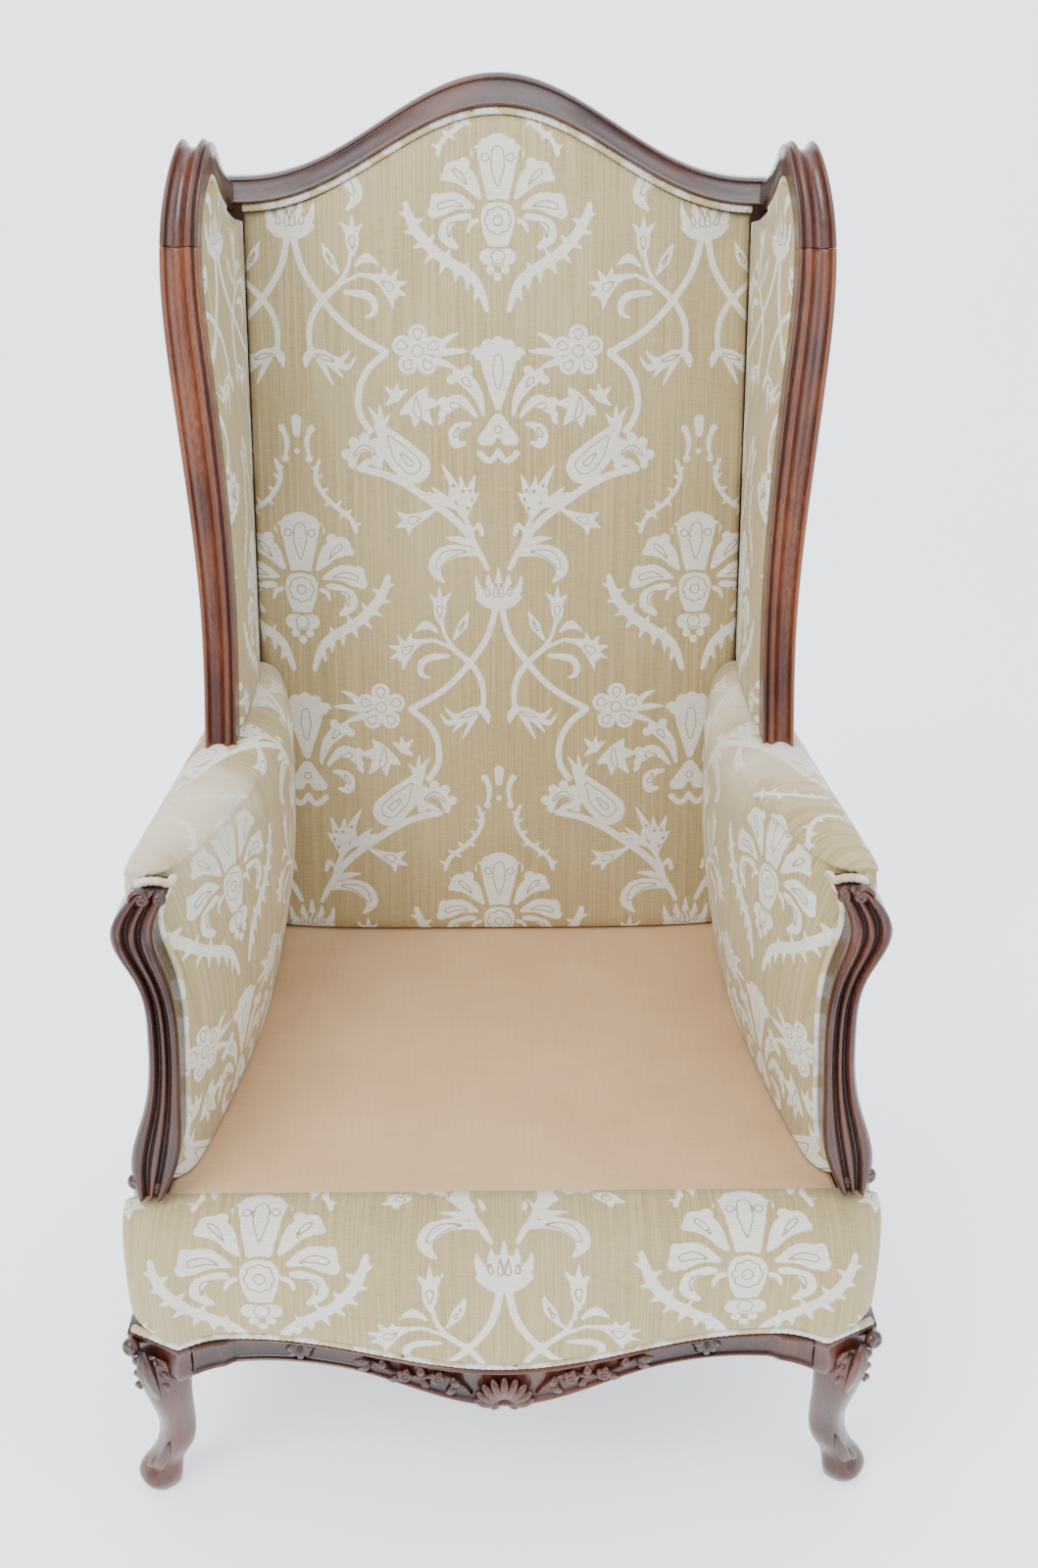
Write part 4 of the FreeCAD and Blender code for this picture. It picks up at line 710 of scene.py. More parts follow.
def inside_back():
    """The back pad: upright loops across the back. The face is the leaning line plus a crown of |u|^4,
    and eases over at the top, the bottom and the sides by a quarter-round of the distance to the edge."""
    u = np.linspace(-1, 1, 281)[:, None]
    x = BACK_HALF * u
    low, high = DECK + CLEAR, crest_low(x) - OVER_WELT
    up = np.linspace(0, 1, 461)
    z = low + (high - low) * up
    edges = (z - low) / 0.022, (high - z) / 0.016, (BACK_HALF - np.abs(x)) / 0.012
    swell = 0.004 * np.sin(np.pi * up) * np.cos(np.pi * u / 2)
    crown = 0.012 * np.abs(u) ** 4
    face = back_line(z) + crown + 0.009 * quarter(np.minimum.reduce(np.broadcast_arrays(*edges))) - swell
    rear_z = z[:, ::-30]
    y = np.concatenate([face, back_line(rear_z) + 0.0215], axis=1)
    z = np.concatenate([z, rear_z], axis=1)
    solid("back_cushion", stack(x, y, z), stack(x, STRETCH * (z - DECK)), CLOTH, "damask", "inside_back_pad",
          pad=0.9)


WING_Y = np.array([8.0, 37.0, 96.0, 124.0, 135.5, 165.0, 251.0, 349.0]) / 1000
WING_Z = np.array([642.0, 755.0, 990.0, 1103.0, 1146.0, 1187.0, 1168.0, 1137.0]) / 1000
WING_OUT = np.array([294.0, 293.0, 314.0, 318.5, 313.0, 303.0, 302.0, 303.0]) / 1000
WING_IN = np.array([263.0, 261.5, 276.0, 283.0, 279.0, 272.0, 274.0, 277.0]) / 1000
WING_DEPTH, WING_FOOT = 0.030, 0.6425


def wing_line(count, start=0.0, end=1.0):
    """The wing frame's line: a natural cubic through its stations by their distances apart. Gives the outer
    and inner edges' x, the line's y and z, the outward direction square to it, and the distance along."""
    knots = np.concatenate([[0], np.cumsum(np.hypot(np.diff(WING_Y), np.diff(WING_Z)))])
    at = np.linspace(start, end, count) * knots[-1]
    outer, inner, y, z = (spline(knots, values, at) for values in (WING_OUT, WING_IN, WING_Y, WING_Z))
    ty, tz = np.gradient(y, at), np.gradient(z, at)
    size = np.hypot(ty, tz)
    return outer, inner, y, z, -tz / size, ty / size, at


def wing_levels(edge, gap, count, below=()):
    """Level lines over a wing, a gap inside its frame's line. Gives their heights, the y and x of the
    frame's outer (0) or inner (1) edge where each meets the rising and the falling side, and the height
    of the line's end."""
    line = wing_line(600)
    y, z = line[2] - line[4] * gap, line[3] - line[5] * gap
    top = np.argmax(z)
    levels = np.concatenate([below, np.linspace(WING_FOOT, z[top] - 0.001, count)])
    sides = slice(top + 1), slice(None, top - 1, -1)
    met = [np.interp(levels, z[side], values[side]) for side in sides for values in (y, line[edge])]
    return (levels, *met, z[-1])


def inside_wings():
    """The wing linings: level strips from behind the frame's inner edge back to the seam with the back pad.
    Each strip bellies inwards by a half sine, and its front rolls away to the welt by a quarter-round."""
    levels, front_y, front_x, fall_y, fall_x, _ = wing_levels(1, WING_DEPTH + 2 * WELT, 190)
    seam = back_line(levels) + 0.016
    rear_x = np.where(seam < fall_y, BACK_HALF + CLEAR, fall_x)
    depth = (np.minimum(seam, fall_y) - front_y)[:, None]
    shown = np.linspace(0, 1, 120)
    share = np.concatenate([shown, [1.0, 0.66, 0.33, 0.0]])
    x = front_x[:, None] + (rear_x - front_x)[:, None] * share
    y = front_y[:, None] + depth * share
    belly = 0.005 * np.sin(np.pi * shown) * np.clip(depth / 0.1, 0, 1)
    x[:, :len(shown)] += 0.006 * quarter(depth * shown / 0.012) - belly
    x[:, len(shown):] += 0.0145
    uv = stack(y + 0.02, (levels[:, None] - DECK) * 1.02)
    pair("wing_lining", stack(x, y, levels[:, None]), uv, CLOTH, "damask", "inside_wing_pad", pad=0.85)


def bow3(share, front, middle, back):
    """The parabola through three values at 0, one half and 1."""
    return (2 * (share - 0.5) * (share - 1) * front + 4 * share * (1 - share) * middle
            + 2 * share * (share - 0.5) * back)


def facing_width(z):
    """Outer and inner x of the arm facing at a height: cubics through its foot, waist, neck and bulge."""
    levels = [FACING_LOW, 0.366, 0.420, 0.490, 0.540, 0.578, FACING_TOP]
    outer = spline(levels, [0.329, 0.334, 0.320, 0.3135, 0.323, 0.341, 0.318], z)
    inner = spline(levels, [0.306, 0.293, 0.287, 0.286, 0.294, 0.304, 0.289], z)
    return outer, inner


def arm_pads():
    """The arms: loops set back through the arm. Each loop rises from the deck in a belly, turns over the
    top in an ellipse and comes down to the rail's outside; the front closes in by a quarter-round."""
    closing, arm_top, inner_drop, outer_drop, foot = 0.06, 0.641, 0.052, 0.042, ARM_SEAM + 0.001
    share = np.concatenate([np.linspace(0, closing, 20)[:-1], np.linspace(closing, 1, 220)])[:, None]
    low = DECK + CLEAR
    shut = quarter(share / closing)
    top = arm_top - 0.012 * shut
    left = bow3(share, 0.286, 0.222, 0.236) + 0.001 + 0.004 * shut
    right = bow3(share, 0.337, 0.320, 0.300) - 0.004 * shut
    up = np.linspace(0, 1, 110)
    low_x = np.minimum(bow3(share, 0.290, 0.254, 0.250), 0.2895)
    wall_x = low_x + (left - low_x) * np.sin(np.pi / 2 * np.minimum(up / 0.72, 1)) ** 1.1
    wall_z = low + (top - inner_drop - low) * up
    held = facing_width(np.clip(wall_z, FACING_LOW, FACING_TOP))[1] + 0.0005
    wall_x = held + (wall_x - held) * (1 - shut)
    turn = np.linspace(np.pi, 0, 60)[1:]
    edge_x = held[:, -1:] * shut + left * (1 - shut)
    over_x = edge_x + (right - edge_x) * (1 + signed_power(np.cos(turn), 0.85)) / 2
    over_z = top - np.where(turn > np.pi / 2, inner_drop, outer_drop) * (1 - np.sin(turn) ** 0.85)
    fall = np.linspace(0, 1, 14)[1:]
    fall_x = right - 0.004 * fall
    fall_z = top - outer_drop + (foot - top + outer_drop) * fall
    inner = np.maximum(0.2885 - 0.02 * share, wall_x.max(axis=1, keepdims=True) + 0.003)
    back_x = np.concatenate([right - 0.010, inner, inner], axis=1)
    back_z = np.broadcast_to([foot, foot, low + 0.02], back_x.shape)
    x = np.concatenate([wall_x, over_x, fall_x, back_x], axis=1)
    z = np.concatenate([wall_z, over_z, fall_z, back_z], axis=1)
    front = facing_front(z) + FACING_DEPTH + OVER_WELT - 0.024 * smooth((z - FACING_TOP - 0.001) / 0.007)
    rear = back_line(z) + 0.0054
    y = front + (rear - front) * share
    points = stack(x, y, z)
    worn = np.exp(-((z - 0.64) / 0.035) ** 2)
    pair("arm_cushion", points, stack(y + 0.13, girth(points) + 0.55), CLOTH, "damask", "arm_pad",
         traits={"worn": worn}, pad=0.85)


def front_border():
    """The border: upright loops across the front. The nose follows the seat's front line, the top eases back
    to the deck, and the ends draw in by a quarter-round."""
    reach, around = 0.345, 96
    x = reach * np.sin(np.linspace(-1, 1, 281) * np.pi / 2)[:, None]
    shut = quarter((reach - np.abs(x)) / 0.040)
    line = front_line(np.minimum(np.abs(x), LEG_OUT - 0.001)) - 0.001
    nose, under = line - 0.0065 + 0.030 * shut, line + 0.004 + 0.028 * shut
    low = SHOW_TOP + OVER_WELT
    tall = DECK - low - 0.008 * shut
    middle = low + tall * 0.46
    angle = np.linspace(0, np.pi, around)
    below, swing, lift = angle < np.pi / 2, np.abs(np.sin(angle)), np.maximum(-np.cos(angle), 0)
    z = np.where(below, low + (middle - low) * (1 - np.cos(angle)),
                 middle + (low + tall - middle) * lift ** 0.9)
    y = np.where(below, under + (nose - under) * swing ** 0.7,
                 BORDER_BACK + (nose - BORDER_BACK) * swing ** 0.62)
    y = np.append(y, np.full_like(x, BORDER_BACK), axis=1)
    z = np.append(z, np.full_like(x, low), axis=1)
    points = stack(x, y, z)
    length = girth(points)
    uv = stack(x, length - length[:, around - 1:around] + 0.487)
    solid("seat_border", points, uv, CLOTH, "damask", "front_border", pad=0.9)


def sheet(face, thick, every):
    """A thin closed loop: a face, and the way back behind it on a coarser copy."""
    return np.concatenate([face, (face - np.array(thick))[:, ::-every]], axis=1)


def deck():
    """The platform cloth: a sheet with a slight crown, a soft hollow and pulls towards its corners."""
    u, v = np.linspace(-1, 1, 121), np.linspace(0, 1, 101)[:, None]
    lift = 0.0008 * np.sin(7 * u + 3 * v) * np.sin(np.pi * v) * (1 - u ** 4)
    top = stack((0.3065 - 0.041 * v) * u, BORDER_BACK - 0.0002 + 0.4845 * v, DECK - 0.0012 + lift)
    points = sheet(top, (0, 0, 0.0016), 15)
    solid("platform_cloth", points, points[..., :2], PLATFORM, "deck_cloth", "seat_deck_cover")


def outside_arms():
    """The outside covers: thin sheets that follow the facing's outline at the front and the post behind."""
    low = SHOW_TOP + OVER_WELT
    z = np.linspace(low, ARM_SEAM, 150)
    share = np.linspace(0, 1, 190)[:, None]
    lower = smooth((z - FACING_LOW) / 0.02)
    outer = facing_width(np.maximum(z, FACING_LOW))[0]
    front_x = (LEG_OUT - 0.0065) * (1 - lower) + (outer - 0.001) * lower
    front_y = np.maximum(facing_front(z) + FACING_DEPTH + CLEAR, BORDER_BACK)
    y = front_y + (back_line(z) + POST_REAR - front_y) * share
    belly = 0.0015 * np.sin(np.pi * share) * np.sin(np.pi * (z - low) / (ARM_SEAM - low))
    points = sheet(stack(front_x + (POST_OUT - front_x) * share + belly, y, z), (COVER, 0, 0), 25)
    uv = stack(points[..., 1] + 0.1, points[..., 2] - DECK + 0.1)
    pair("arm_outside", points, uv, CLOTH, "damask", "outside_arm_panel")


def outside_wings():
    """The outside of each wing: level strips from the frame's rear edge back to the post's rear."""
    levels, front_y, front_x, fall_y, _, end = wing_levels(0, WING_DEPTH + 0.0012, 150,
                                                           [ARM_SEAM + 0.0008, 0.6, 0.64])
    below = levels < WING_FOOT - 0.001
    seam = back_line(levels) + POST_REAR
    rear_y = np.where((levels < end) | (seam < fall_y), seam, fall_y)[:, None]
    front_y = np.where(below, back_line(levels) + 0.0057, front_y)[:, None]
    front_x = np.where(below, POST_OUT, front_x - 0.0015)[:, None]
    slat_y = np.minimum(back_line(levels)[:, None] + 0.012, rear_y)
    y = front_y + (rear_y - front_y) * np.linspace(0, 1, 110)
    toward = np.clip((y - front_y) / np.maximum(slat_y - front_y, 0.001), 0, 1)
    face = stack(front_x + (POST_OUT - front_x) * toward, y, levels[:, None])
    points = sheet(face, (COVER, 0, 0), 20)
    pair("wing_outside", points, stack(points[..., 1], points[..., 2] - DECK), CLOTH, "damask",
         "outside_wing_panel")


def outside_back():
    """The outside of the back: an upright sheet that stands off the posts at the seat and eases in above."""
    x = np.linspace(-0.296, 0.296, 221)[:, None]
    low, high = SHOW_TOP + 0.004, crest_low(x) - CLEAR
    z = low + (high - low) * np.linspace(0, 1, 330)
    off = np.interp(z, [0.211, 0.306, 0.486, 1.3], [0.010, 0.004, 0.0, 0.0])
    points = sheet(stack(x, back_line(z) + POST_REAR + 0.0048 + off, z), (0, COVER, 0), 40)
    uv = stack(x, STRETCH * (points[..., 2] - DECK))
    solid("back_outside", points, uv, CLOTH, "damask", "outside_back_panel")


# Welts


def cord(name, path, node, radius=WELT - CLEAR):
    """A round cord: rings square to the path, their radius pinched by a cosine where stitches pull it."""
    along = unit(np.gradient(path, axis=0))
    first = unit(np.cross(along, np.array([0.3, 1.0, 0.2])))
    second = np.cross(along, first)
    turn = np.linspace(0, 2 * np.pi, 14, endpoint=False)
    run = run_length(path[:, None])
    size = radius * (1 - 0.05 * np.cos(run * 2 * np.pi / 0.006))[..., None]
    ring = first[:, None] * np.cos(turn)[:, None] + second[:, None] * np.sin(turn)[:, None]
    solid(name, path[:, None] + size * ring, stack(radius * turn, run), WELTING, "welt", node)


def side_line(y):
    """X of the side rails' outside: straight from the leg in to the back post."""
    return 0.342 - 0.042 * (y - LEG_BACK) / (back_line(0.19) + POST_FACE - LEG_BACK)


def welts():
    """Cords along the crest, the seat's front, the wings, the facings and the side rails."""
    x = np.linspace(-BACK_HALF + 0.001, BACK_HALF - 0.001, 380)
    z = crest_low(x) - WELT - CLEAR
    cord("crest_cord", stack(x, back_line(z) + 0.007, z), "crest_welt")
    x = np.linspace(-LEG_OUT + 0.006, LEG_OUT - 0.006, 460)
    seat_z = SHOW_TOP + WELT + CLEAR
    cord("seat_cord", stack(x, front_line(x) + 0.0038, seat_z), "front_welt")

    _, inner, y, z, out_y, out_z, _ = wing_line(380, 0.0, 0.93)
    gap = WING_DEPTH + WELT + CLEAR
    wing = stack(inner + WELT + 0.0005, y - out_y * gap, z - out_z * gap)
    wing = wing[(wing[:, 2] > WING_FOOT - 0.0002) & (wing[:, 1] < back_line(wing[:, 2]) - 0.004)]

    bend = FACING_TOP - 0.004
    turn = np.linspace(0, np.pi, 40)[1:-1]
    z = np.concatenate([np.linspace(0.349, bend, 150), bend + 0.0088 * np.sin(turn) ** 0.6])
    x = np.concatenate([facing_width(z[:150])[1], 0.3035 - 0.0145 * np.cos(turn)])
    pull = np.concatenate([np.zeros(150), 0.022 * smooth(np.sin(turn) * 2)])
    facing = stack(x, facing_front(z) + FACING_DEPTH + WELT + CLEAR - pull, z)

    y = np.linspace(LEG_BACK + 0.001, back_line(seat_z) + POST_FACE - 0.001, 120)
    rail = stack(side_line(y) - 0.004, y, seat_z)
    for name, path in (("wing", wing), ("facing", facing), ("side", rail)):
        for side, hand in HANDS:
            cord(f"{name}_cord_{hand}", handed(path, side), f"{name}_welt_{hand}")


# Show wood


def carry(across, face, sides, low):
    """A ridge's loop: up the near side, over the face, down and back. Gives its share across, its height and
    its hollows."""
    return (np.concatenate([[0.0, 0.0], across, [1.0, 1.0, 0.75, 0.25]]),
            np.concatenate([[low, sides[0]], face, [sides[1], low, low, low]]),
            np.pad(recess(face), (2, 4)))


def section(share, depth, *behind):
    """A rail's loop: up its face and down behind, through (share, depth) points. Gives its share of the
    height, its depth and its hollows."""
    up, back = np.array(behind).T
    return (np.concatenate([share, up]), np.concatenate([depth, back]),
            np.pad(recess(-depth, 6), (0, len(behind))))


def lobes(a, *rows):
    """A moulding's face: a sum of half-sine beads and coves, each from a start to an end with a height."""
    total = np.zeros_like(a)
    for start, end, height in rows:
        inside = (a > start) & (a < end)
        share = np.clip((a - start) / (end - start), 0, 1)
        total += np.where(inside, height * np.sin(np.pi * share) ** 0.8, 0)
    return total


def recess(b, wide=5):
    """How far a moulding's face lies below its neighbours: a running mean less the face, in millimetres."""
    kernel = np.ones(2 * wide + 1) / (2 * wide + 1)
    padded = np.pad(b, wide, mode="edge")
    return (np.convolve(padded, kernel, mode="valid") - b) * 1000


def wing_frames():
    """The wing frames: a double-ridged moulding carried up the wing line and over its crown.
    The stile runs to the joint under the ear, and the ear runs back to the crest."""
    joint, ridge = 0.622, 0.0036
    a = np.linspace(0, 1, 60)
    face = lobes(a, (0.0, 0.17, 0.0034), (0.17, 0.62, -0.0042), (0.62, 0.86, ridge), (0.86, 0.91, -0.0012),
                 (0.91, 1.0, 0.0008))
    across, height, hollow = carry(a, face, (-0.001, -0.002), ridge - WING_DEPTH)

    def member(start, end):
        outer, inner, y, z, out_y, out_z, at = (values[:, None] for values in wing_line(150, start, end))
        lift = height - ridge
        points = stack(outer + (inner - outer) * across, y + out_y * lift, z + out_z * lift)
        return points, stack(across * 0.034, at)

    stile, stile_uv = member(0.0, joint)
    stile = np.concatenate([stile[:1] - np.array([0, 0.0116, 0.045]), stile])
    stile_uv = np.concatenate([stile_uv[:1] - np.array([0, 0.046]), stile_uv])
    ear, ear_uv = member(joint + 0.0008, 1.0)
    for side, hand in HANDS:
        for name, points, uv, finish, node in (("wing_upright", stile, stile_uv, STILE, "wing_stile"),
                                               ("wing_top", ear, ear_uv, DARK_WOOD, "wing_ear")):
            solid(f"{name}_{hand}", handed(points, side), uv, finish, "show_wood", f"{node}_{hand}",
                  traits={"hollow": hollow})


def crest():
    """The crest rail: a lower bead, a broad cove and a top bead in the (height share, depth) plane, carried
    along the arch."""
    x = np.concatenate([[-0.300], np.linspace(-CREST_HALF, CREST_HALF, 260), [0.300]])[:, None]
    low, high = crest_low(x), crest_high(x)
    share = np.linspace(0, 1, 64)
    depth = 0.003 + 0.025 * smooth((share - 0.10) / 0.9) ** 1.3
    depth += lobes(share, (0.0, 0.17, -0.0045), (0.17, 0.80, 0.0050), (0.80, 1.0, -0.0040))
    behind = (1.0, depth[-1] + 0.006), (1.0, 0.046), (0.96, 0.054), (0.0, 0.054)
    up, back, hollow = section(share, depth, *behind)
    z = low + (high - low) * up
    uv = stack(up * 0.04, run_length(stack(x, 0.0, low)))
    solid("crest", stack(x, back_line(z) + back, z), uv, DARK_WOOD, "show_wood", "crest_rail",
          traits={"hollow": hollow})


def facings():
    """The arm facings: three reeds with channels between, carried up the facing's outline."""
    z = np.linspace(FACING_LOW, FACING_TOP, 150)[:, None]
    outer, inner = facing_width(z)
    a = np.linspace(0, 1, 60)
    face = lobes(a, (0.0, 0.30, 0.0058), (0.30, 0.40, -0.0022), (0.40, 0.62, 0.0044), (0.62, 0.68, -0.0014),
                 (0.68, 1.0, 0.0056))
    across, height, hollow = carry(a, face, (-0.001, -0.001), -FACING_DEPTH)
    points = stack(outer + (inner - outer) * across, facing_front(z) - height, z)
    pair("arm_scroll", points, stack(across * 0.03, z), DARK_WOOD, "show_wood", "arm_facing",
         traits={"hollow": hollow})


def front_apron():
    """The front rail: a top bead, a shallow cove and a lower bead, carried along the serpentine front.
    Near the legs the face stands 4 mm further out."""
    x = np.linspace(-RAIL_HALF, RAIL_HALF, 260)[:, None]
    low = apron(x)
    share = np.linspace(0, 1, 60)
    depth = 0.005 + lobes(share, (0.0, 0.16, -0.0042), (0.16, 0.84, 0.0016), (0.84, 1.0, -0.0042))
    up, back, hollow = section(share, depth, (1.0, 0.030), (0.0, 0.020))
    line = front_line(x) - 0.004 * smooth((np.abs(x) - 0.245) / 0.012)
    points = stack(x, line + back, low + (SHOW_TOP - low) * up)
    solid("apron", points, stack(up * 0.04, x), DARK_WOOD, "show_wood", "front_rail",
          traits={"hollow": hollow})


def leg_block():
    """The leg's corner block: an outline round the serpentine corner, carried up with a top bead."""
    share, arris = np.linspace(0, 1, 40)[1:], LEG_ARRIS[0]
    x = np.concatenate([[RAIL_HALF], RAIL_HALF + (arris - RAIL_HALF) * share,
                        arris + (LEG_OUT - arris) * share])
    outline = np.concatenate([stack(x, front_line(x)), [[LEG_OUT, LEG_BACK], [RAIL_HALF, LEG_BACK]]])
    centre = np.array([0.315, -0.325])
    z = np.array([0.168, 0.170, 0.176, 0.182, 0.190, 0.198, 0.2015, 0.204, 0.2065, SHOW_TOP])[:, None]
    grow = np.array([0.90, 0.94, 0.97, 0.96, 0.95, 0.955, 0.985, 1.0, 0.99, 0.97])[:, None]
    x, y = ((centre[k] + (outline[:, k] - centre[k]) * grow) for k in (0, 1))
    return stack(x, y, z), stack(z, np.arange(len(outline)) * 0.002)


def front_legs():
    """The front legs: rings up a curved line, from the scroll toe through a slim ankle to a full knee.
    A ring is a squared circle, its sine and cosine to a power, turned to the corner. On top stands the
    corner block."""
    level = [0.0, 0.012, 0.030, 0.052, 0.084, 0.126, 0.168, 0.188]
    z = np.linspace(0, level[-1], 110)[:, None]
    middle_x = spline(level, [0.333, 0.335, 0.329, 0.318, 0.312, 0.314, 0.317, 0.317], z)
    middle_y = spline(level, [-0.316, -0.318, -0.316, -0.320, -0.324, -0.332, -0.334, -0.334], z)
    radius = spline(level, [0.016, 0.020, 0.017, 0.0165, 0.0165, 0.0198, 0.024, 0.023], z)
    turn, cant = np.linspace(0, 2 * np.pi, 60, endpoint=False), np.radians(-35)
    a, b = radius * signed_power(np.cos(turn), 0.8), radius * signed_power(np.sin(turn), 0.8)
    leg = stack(middle_x + a * np.cos(cant) - b * np.sin(cant),
                middle_y + a * np.sin(cant) + b * np.cos(cant), z)
    block, block_uv = leg_block()
    for side, hand in HANDS:
        for name, points, uv in (("cabriole", leg, stack(turn * 0.02, z)), ("leg_block", block, block_uv)):
            solid(f"{name}_{hand}", handed(points, side), uv, DARK_WOOD, "show_wood", f"front_leg_{hand}")


def side_rails():
    """The side rails: the moulded section carried straight from the leg to the back post."""
    low = 0.174
    share = np.linspace(0, 1, 60)
    depth = 0.004 - lobes(share, (0.0, 0.18, 0.0036), (0.88, 1.0, 0.002))
    up, back, hollow = section(share, depth, (1.0, 0.030), (0.0, 0.020))
    z = low + (SHOW_TOP - low) * up
    y = LEG_BACK + (back_line(z) + POST_FACE - LEG_BACK) * np.linspace(0, 1, 40)[:, None]
    pair("side_rail", stack(side_line(y) - back, y, z), stack(up * 0.03, y), STILE, "show_wood",
         "side_seat_rail", traits={"hollow": hollow})


# Carving


def leaf(path, wide, proud, out=(0.0, -1.0, 0.0), blunt=0.7, vein=0.5):
    """A carved leaf: an ellipse with a sunk vein across a path, its size a power of a half sine."""
    path = np.array(path, float)
    knots = np.linspace(0, 1, len(path))
    at = np.linspace(0.01, 0.99, 13)
    middle = np.stack([spline(knots, path[:, k], at) for k in range(3)], axis=1)
    out = unit(np.array(out))
    across = unit(np.cross(np.gradient(middle, axis=0), out))
    swell = np.sin(np.pi * at)[:, None] ** blunt
    turn = np.linspace(0, 2 * np.pi, 14, endpoint=False)
    rise = np.sin(turn) * (1 - vein * np.exp(-(np.cos(turn) / 0.3) ** 2)) + 0.1
    return (middle[:, None] + across[:, None] * (wide * swell * np.cos(turn))[..., None]
            + out * (proud * swell * rise)[..., None])


def knob(centre, radius, out=(0.0, -1.0, 0.0), flat=0.7):
    """A turned knob: a sphere flattened along one direction, with a dimple at its middle."""
    out = unit(np.array(out))
    side = unit(np.cross(out, (0.0, 0.0, 1.0)))
    head = np.cross(side, out)
    lift = np.linspace(-np.pi / 2 + 0.08, np.pi / 2 - 0.08, 13)[:, None]
    turn = np.linspace(0, 2 * np.pi, 18, endpoint=False)
    dent = 1 - 0.35 * np.exp(-((np.pi / 2 - lift) / 0.35) ** 2)
    return (np.array(centre) + radius * (np.cos(lift) * np.cos(turn))[..., None] * side
            + radius * (np.cos(lift) * np.sin(turn))[..., None] * head
            + radius * flat * (np.sin(lift) * dent + 0 * turn)[..., None] * out)


def carved(name, grids, node):
    """One piece of several closed carved forms. Each is darker where its rings are narrow and paler where
    they are widest.
    """
    made = []
    for count, points in enumerate(grids):
        low = np.linalg.norm(points - points.mean(axis=1, keepdims=True), axis=-1)
        # Darker where a ring is narrow, paler where it is wide
        traits = {"hollow": 1.6 - 2.6 * low / (low.max() + 1e-6)}
        made.append(lay(f"{name}_{count}", points, points[..., [0, 2]], traits, flip=not facing_out(points)))
    with bpy.context.temp_override(active_object=made[0], selected_editable_objects=made, object=made[0]):
        bpy.ops.object.join()
    made[0].name = name
    dress(made[0], DARK_WOOD, "show_wood", node)


def rail_face(x, share, proud=0.0):
    """A place on the front rail's face: x, a share of its height, and how far out."""
    low = apron(x)
    return np.array([x, float(front_line(x)) + 0.005 - proud, float(low + (SHOW_TOP - low) * share)])


def rail_carving():
    """The apron's carving: a ribbed shell in the middle, a stem of leaves and two flowers on each side, and
    a fan of five leaves under the cord at each quarter."""
    grids = []
    hinge = rail_face(0.0, 0.06)
    for turn in np.linspace(-1.3, 1.3, 9):
        reach = 0.027 + 0.007 * np.cos(turn)
        way = np.array([np.sin(turn), 0.0, np.cos(turn)])
        rib = [hinge + way * 0.003, hinge + way * reach * 0.6 - (0, 0.0045, 0),
               hinge + way * reach - (0, 0.0025, 0)]
        grids.append(leaf(rib, 0.0044, 0.0042, blunt=0.45, vein=0.2))
    for side, _ in HANDS:
        grids.append(knob(hinge + np.array([side * 0.009, -0.003, 0.001]), 0.0055))
        stem = [rail_face(side * x, share) for x, share in ((0.028, 0.25), (0.055, 0.66), (0.085, 0.36),
                                                            (0.122, 0.62))]
        grids.append(leaf(stem, 0.0022, 0.0034, blunt=0.2, vein=0.0))
        for x, share, dx, dz in ((0.036, 0.45, 0.010, 0.012), (0.046, 0.50, 0.008, -0.013),
                                 (0.070, 0.55, 0.004, 0.012), (0.076, 0.42, -0.004, -0.012),
                                 (0.094, 0.40, 0.012, -0.008), (0.104, 0.50, 0.006, 0.011),
                                 (0.120, 0.60, 0.016, 0.002), (0.122, 0.55, 0.012, -0.009)):
            start = rail_face(side * x, share)
            end = start + np.array([side * dx, -0.001, dz])
            mid = (start + end) / 2 + np.array([side * dz * 0.25, -0.002, 0.0])
            grids.append(leaf([start, mid, end], 0.0040, 0.0036))
        for x, share in ((0.060, 0.60), (0.090, 0.42)):
            centre = rail_face(side * x, share, 0.002)
            for turn in np.arange(5) * 2 * np.pi / 5:
                tip = centre + 0.0085 * np.array([np.cos(turn), 0.0, np.sin(turn)])
                grids.append(leaf([centre, (centre + tip) / 2 - (0, 0.0015, 0), tip], 0.0036, 0.0030))
            grids.append(knob(centre, 0.0026))
        start = rail_face(side * 0.186, 0.86)
        for turn, reach in ((-1.25, 0.015), (-0.65, 0.017), (0.0, 0.019), (0.65, 0.017), (1.25, 0.015)):
            end = start + reach * np.array([np.sin(turn), -0.05, -np.cos(turn)])
            grids.append(leaf([start, (start + end) / 2 - (0, 0.002, 0), end], 0.0038, 0.0040))
    carved("apron_carving", grids, "front_rail")


